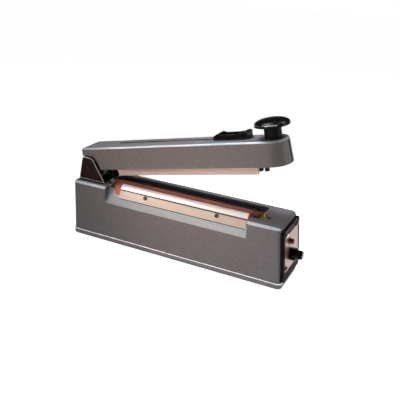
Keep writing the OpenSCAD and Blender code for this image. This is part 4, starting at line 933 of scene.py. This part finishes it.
def makePanLip(p):
    points = []
    for inset, z in ((0, p["low"]), (0, p["high"]), (p["thick"], p["high"]), (p["thick"], p["low"])):
        plan = roundedPlan(p["halfLong"] - inset, p["halfWide"] - inset, p["corner"] - inset, 10)
        points += [(x, y, z) for x, y in plan]
    piece = fromPoints("pan_lip", "base", points, loftFaces(4, len(points) // 4, closed=True), lipHighlightSteel)
    bevelEdges(piece, p["edge"], 2)
    goWith(settle(piece), "bottom_pan")


makePanLip(panLip)

# small parts: node, material, width of the broken edge in mm
smallParts = (
    ("end_cap", brownPhenolic, 0.8), ("panel_plate", panelSheet, 0.2),
    ("lamp_bezel", redAcrylic, 0.25), ("lamp_lens", redAcrylic, 0.3),
    ("timer_knob_cap", spunFoil, 0.3),
    ("platform_board", blackAbs, 0.3), ("platform_bar", milledAluminium, 0.2),
    ("cutter_guide", blackAbs, 0.4),
    ("clamp_screws", blackedSteel, 0.3), ("rear_terminal", tinnedBrass, 0.25),
    ("front_terminal", rolledCopper, 0.2), ("terminal_screws", turnedBrass, 0.25),
    ("switch_plunger", turnedBrass, 0.5), ("hinge_pin", plumSteel, 0.25),
    ("hinge_screws", zincSteel, 0.4), ("hinge_bushes", sinteredBronze, 0.25),
    ("seal_rubber", siliconeStrip, 0.4), ("bar_screws", zincSteel, 0.3), ("switch_post", blackAbs, 0.6),
    ("blade_holder", milledAluminium, 0.4), ("cutter_blade", groundSteel, 0.1),
    ("slide_screws", zincSteel, 0.25),
    ("cord_gland", blackAbs, 0.6), ("rubber_feet", footRubber, 0.8), ("pan_screws", zincSteel, 0.3),
    ("strap_screws", zincSteel, 0.3),
)
for node, look, edge in smallParts:
    breakEdges(node, look, edge)

# the panel's screws are sprayed with the plate, and one has been turned since
screws = breakEdges("panel_screws", panelSheet, 0.3)
screws.data.materials.append(zincSteel)
middle = sum(boxOf("panel_plate"), Vector()) / 2
for face in screws.data.polygons:
    face.material_index = 1 if face.center.y < middle.y and face.center.z > middle.z else 0

# a dark brown band along the plate's top edge
panelBand = {"half": 24.6, "low": 67.4, "high": 73.1, "into": 0.05, "out": 0.06}


def makePanelBand(p):
    face = spanOf("panel_plate", "panel")[0][1]
    half, low, high = p["half"], p["low"], p["high"]
    corners = ((-half, low), (half, low), (half, high), (-half, high))
    points = [(x, y, z) for x in (face - p["into"], face + p["out"]) for y, z in corners]
    band = fromPoints("panel_band", "panel", points, loftFaces(2, 4), darkBrownBand)
    goWith(band, "panel_plate")


makePanelBand(panelBand)

# parts that stay hidden inside keep their solids
hiddenParts = {
    "timer_shaft": zincSteel, "timer_nut": zincSteel, "potentiometer": greyMoulding,
    "timer_board": boardLacquer, "board_posts": greyMoulding,
    "transformer_core": ironLaminations, "transformer_coil": tapedCoil,
    "transformer_strap": zincSteel, "micro_switch": greyMoulding, "switch_bracket": zincSteel,
    "bracket_rivets": zincSteel, "board_screws": zincSteel, "platform_screws": zincSteel,
    "insulating_tape": glassTape, "heating_ribbon": ribbonAlloy, "gland_nut": greyMoulding,
    "knob_stud": zincSteel, "knob_nut": zincSteel,
}
for node, look in hiddenParts.items():
    nodes[node].data.materials.clear()
    nodes[node].data.materials.append(look)
print("small parts dressed:", len(smallParts), "and", len(hiddenParts), "inside")

# studio: a white floor that runs out to a white horizon, and soft boxes; each is (place, aim, width, height,
# power, the angle its grid lets out, tint); the card is held to the press knob alone and draws the streak on
# its rim
studio = {
    "floor": 8, "floorColour": "#f4f4f4", "floorGlow": 0.94, "white": "#ffffff",
    "sky": 0.05, "overhead": 0.05, "horizon": (-2, 6),
    "lamps": {
        "back": ((-0.36, 0.1, 1.1), (0.16, 0, 0.16), 0.4, 0.4, 1.2, 44, "#eaf1ff"),
        "left": ((-0.8, -0.7, 0.5), (0.02, 0, 0.078), 0.12, 0.12, 0.084, 14, "#ffe4d8"),
        "front": ((-0.2, -0.9, 0.3), (0.08, 0, 0.155), 0.15, 0.15, 0.034, 15, "#fff0e6"),
        "key": ((-0.45, -0.57, 0.98), (0, 0, 0.08), 0.6, 0.25, 0.9, 180, "#e9f6ff"),
        "end": ((0.3, 0.5, 1), (0.14, 0, 0.08), 0.3, 0.3, 0.16, 30, "#dbe8ff"),
        "right": ((1.1, 0.2, 0.4), (0.1, 0, 0.1), 0.5, 0.5, 2.3, 180, "#fff2ea"),
        "card": ((0.15, -0.51, 0.48), (0.125, 0, 0.2), 1, 0.4, 11, 180, "#fff0ec"),
    },
}


def layFloor(s):
    mesh = bpy.data.meshes.new("floor")
    h = s["floor"] / 2
    mesh.from_pydata([(-h, -h, 0), (h, -h, 0), (h, h, 0), (-h, h, 0)], [], [(0, 1, 2, 3)])
    paper = startMaterial("white_paper", {"Base Color": s["floorColour"], "Roughness": 0.9,
                                          "Emission Color": s["white"]})
    tree = paper.node_tree
    seen = addNode(tree, "ShaderNodeLightPath")
    either = addNode(tree, "ShaderNodeMath", {"operation": "MAXIMUM"},
                     {0: seen.outputs["Is Camera Ray"], 1: seen.outputs["Is Glossy Ray"]})
    glow = addNode(tree, "ShaderNodeMath", {"operation": "MULTIPLY"}, {0: either.outputs[0]})
    glow.inputs[1].default_value = s["floorGlow"]
    tree.links.new(glow.outputs[0], tree.nodes["Principled BSDF"].inputs["Emission Strength"])
    newPiece("floor", mesh, [paper])


def hangLamps(s):
    for name, (at, aim, wide, tall, power, spread, tint) in s["lamps"].items():
        lamp = bpy.data.lights.new(name, "AREA")
        lamp.shape = "RECTANGLE"
        lamp.size = wide
        lamp.size_y = tall
        lamp.energy = power
        lamp.spread = math.radians(spread)
        lamp.color = linear(tint)[:3]
        holder = bpy.data.objects.new(name, lamp)
        scene.collection.objects.link(holder)
        holder.location = at
        holder.rotation_euler = (Vector(aim) - Vector(at)).to_track_quat("-Z", "Y").to_euler()
        holder.visible_camera = False
        if name == "card":
            only = bpy.data.collections.new("lit_by_card")
            only.objects.link(knob)
            holder.light_linking.receiver_collection = only


def paintSky(s):
    world = bpy.data.worlds.new("studio")
    scene.world = world
    world.use_nodes = True
    tree = world.node_tree
    tree.nodes.clear()
    # the camera sees white, gloss and glass see a white horizon that dims overhead, and an even sky lights
    # the object
    path = addNode(tree, "ShaderNodeLightPath")
    first = addNode(tree, "ShaderNodeMath", {"operation": "MAXIMUM"},
                    {0: path.outputs["Is Camera Ray"], 1: path.outputs["Is Glossy Ray"]})
    either = addNode(tree, "ShaderNodeMath", {"operation": "MAXIMUM"},
                     {0: first.outputs[0], 1: path.outputs["Is Transmission Ray"]})
    where = addNode(tree, "ShaderNodeTexCoord")
    height = addNode(tree, "ShaderNodeSeparateXYZ", links={0: where.outputs["Generated"]})
    low, high = (math.sin(math.radians(a)) for a in s["horizon"])
    fade = addNode(tree, "ShaderNodeMapRange", {"interpolation_type": "SMOOTHSTEP", "From Min": low,
                   "From Max": high, "To Min": 1, "To Max": s["overhead"]}, {"Value": height.outputs["Z"]})
    light = addNode(tree, "ShaderNodeBackground", {"Color": linear(s["white"]), "Strength": s["sky"]})
    white = addNode(tree, "ShaderNodeMath", {"operation": "MAXIMUM"},
                    {0: fade.outputs["Result"], 1: path.outputs["Is Camera Ray"]})
    back = addNode(tree, "ShaderNodeBackground", {"Color": linear(s["white"])},
                   {"Strength": white.outputs[0]})
    mix = addNode(tree, "ShaderNodeMixShader",
                  links={0: either.outputs[0], 1: light.outputs[0], 2: back.outputs[0]})
    addNode(tree, "ShaderNodeOutputWorld", links={"Surface": mix.outputs[0]})


layFloor(studio)
hangLamps(studio)
paintSky(studio)
print("studio lit")
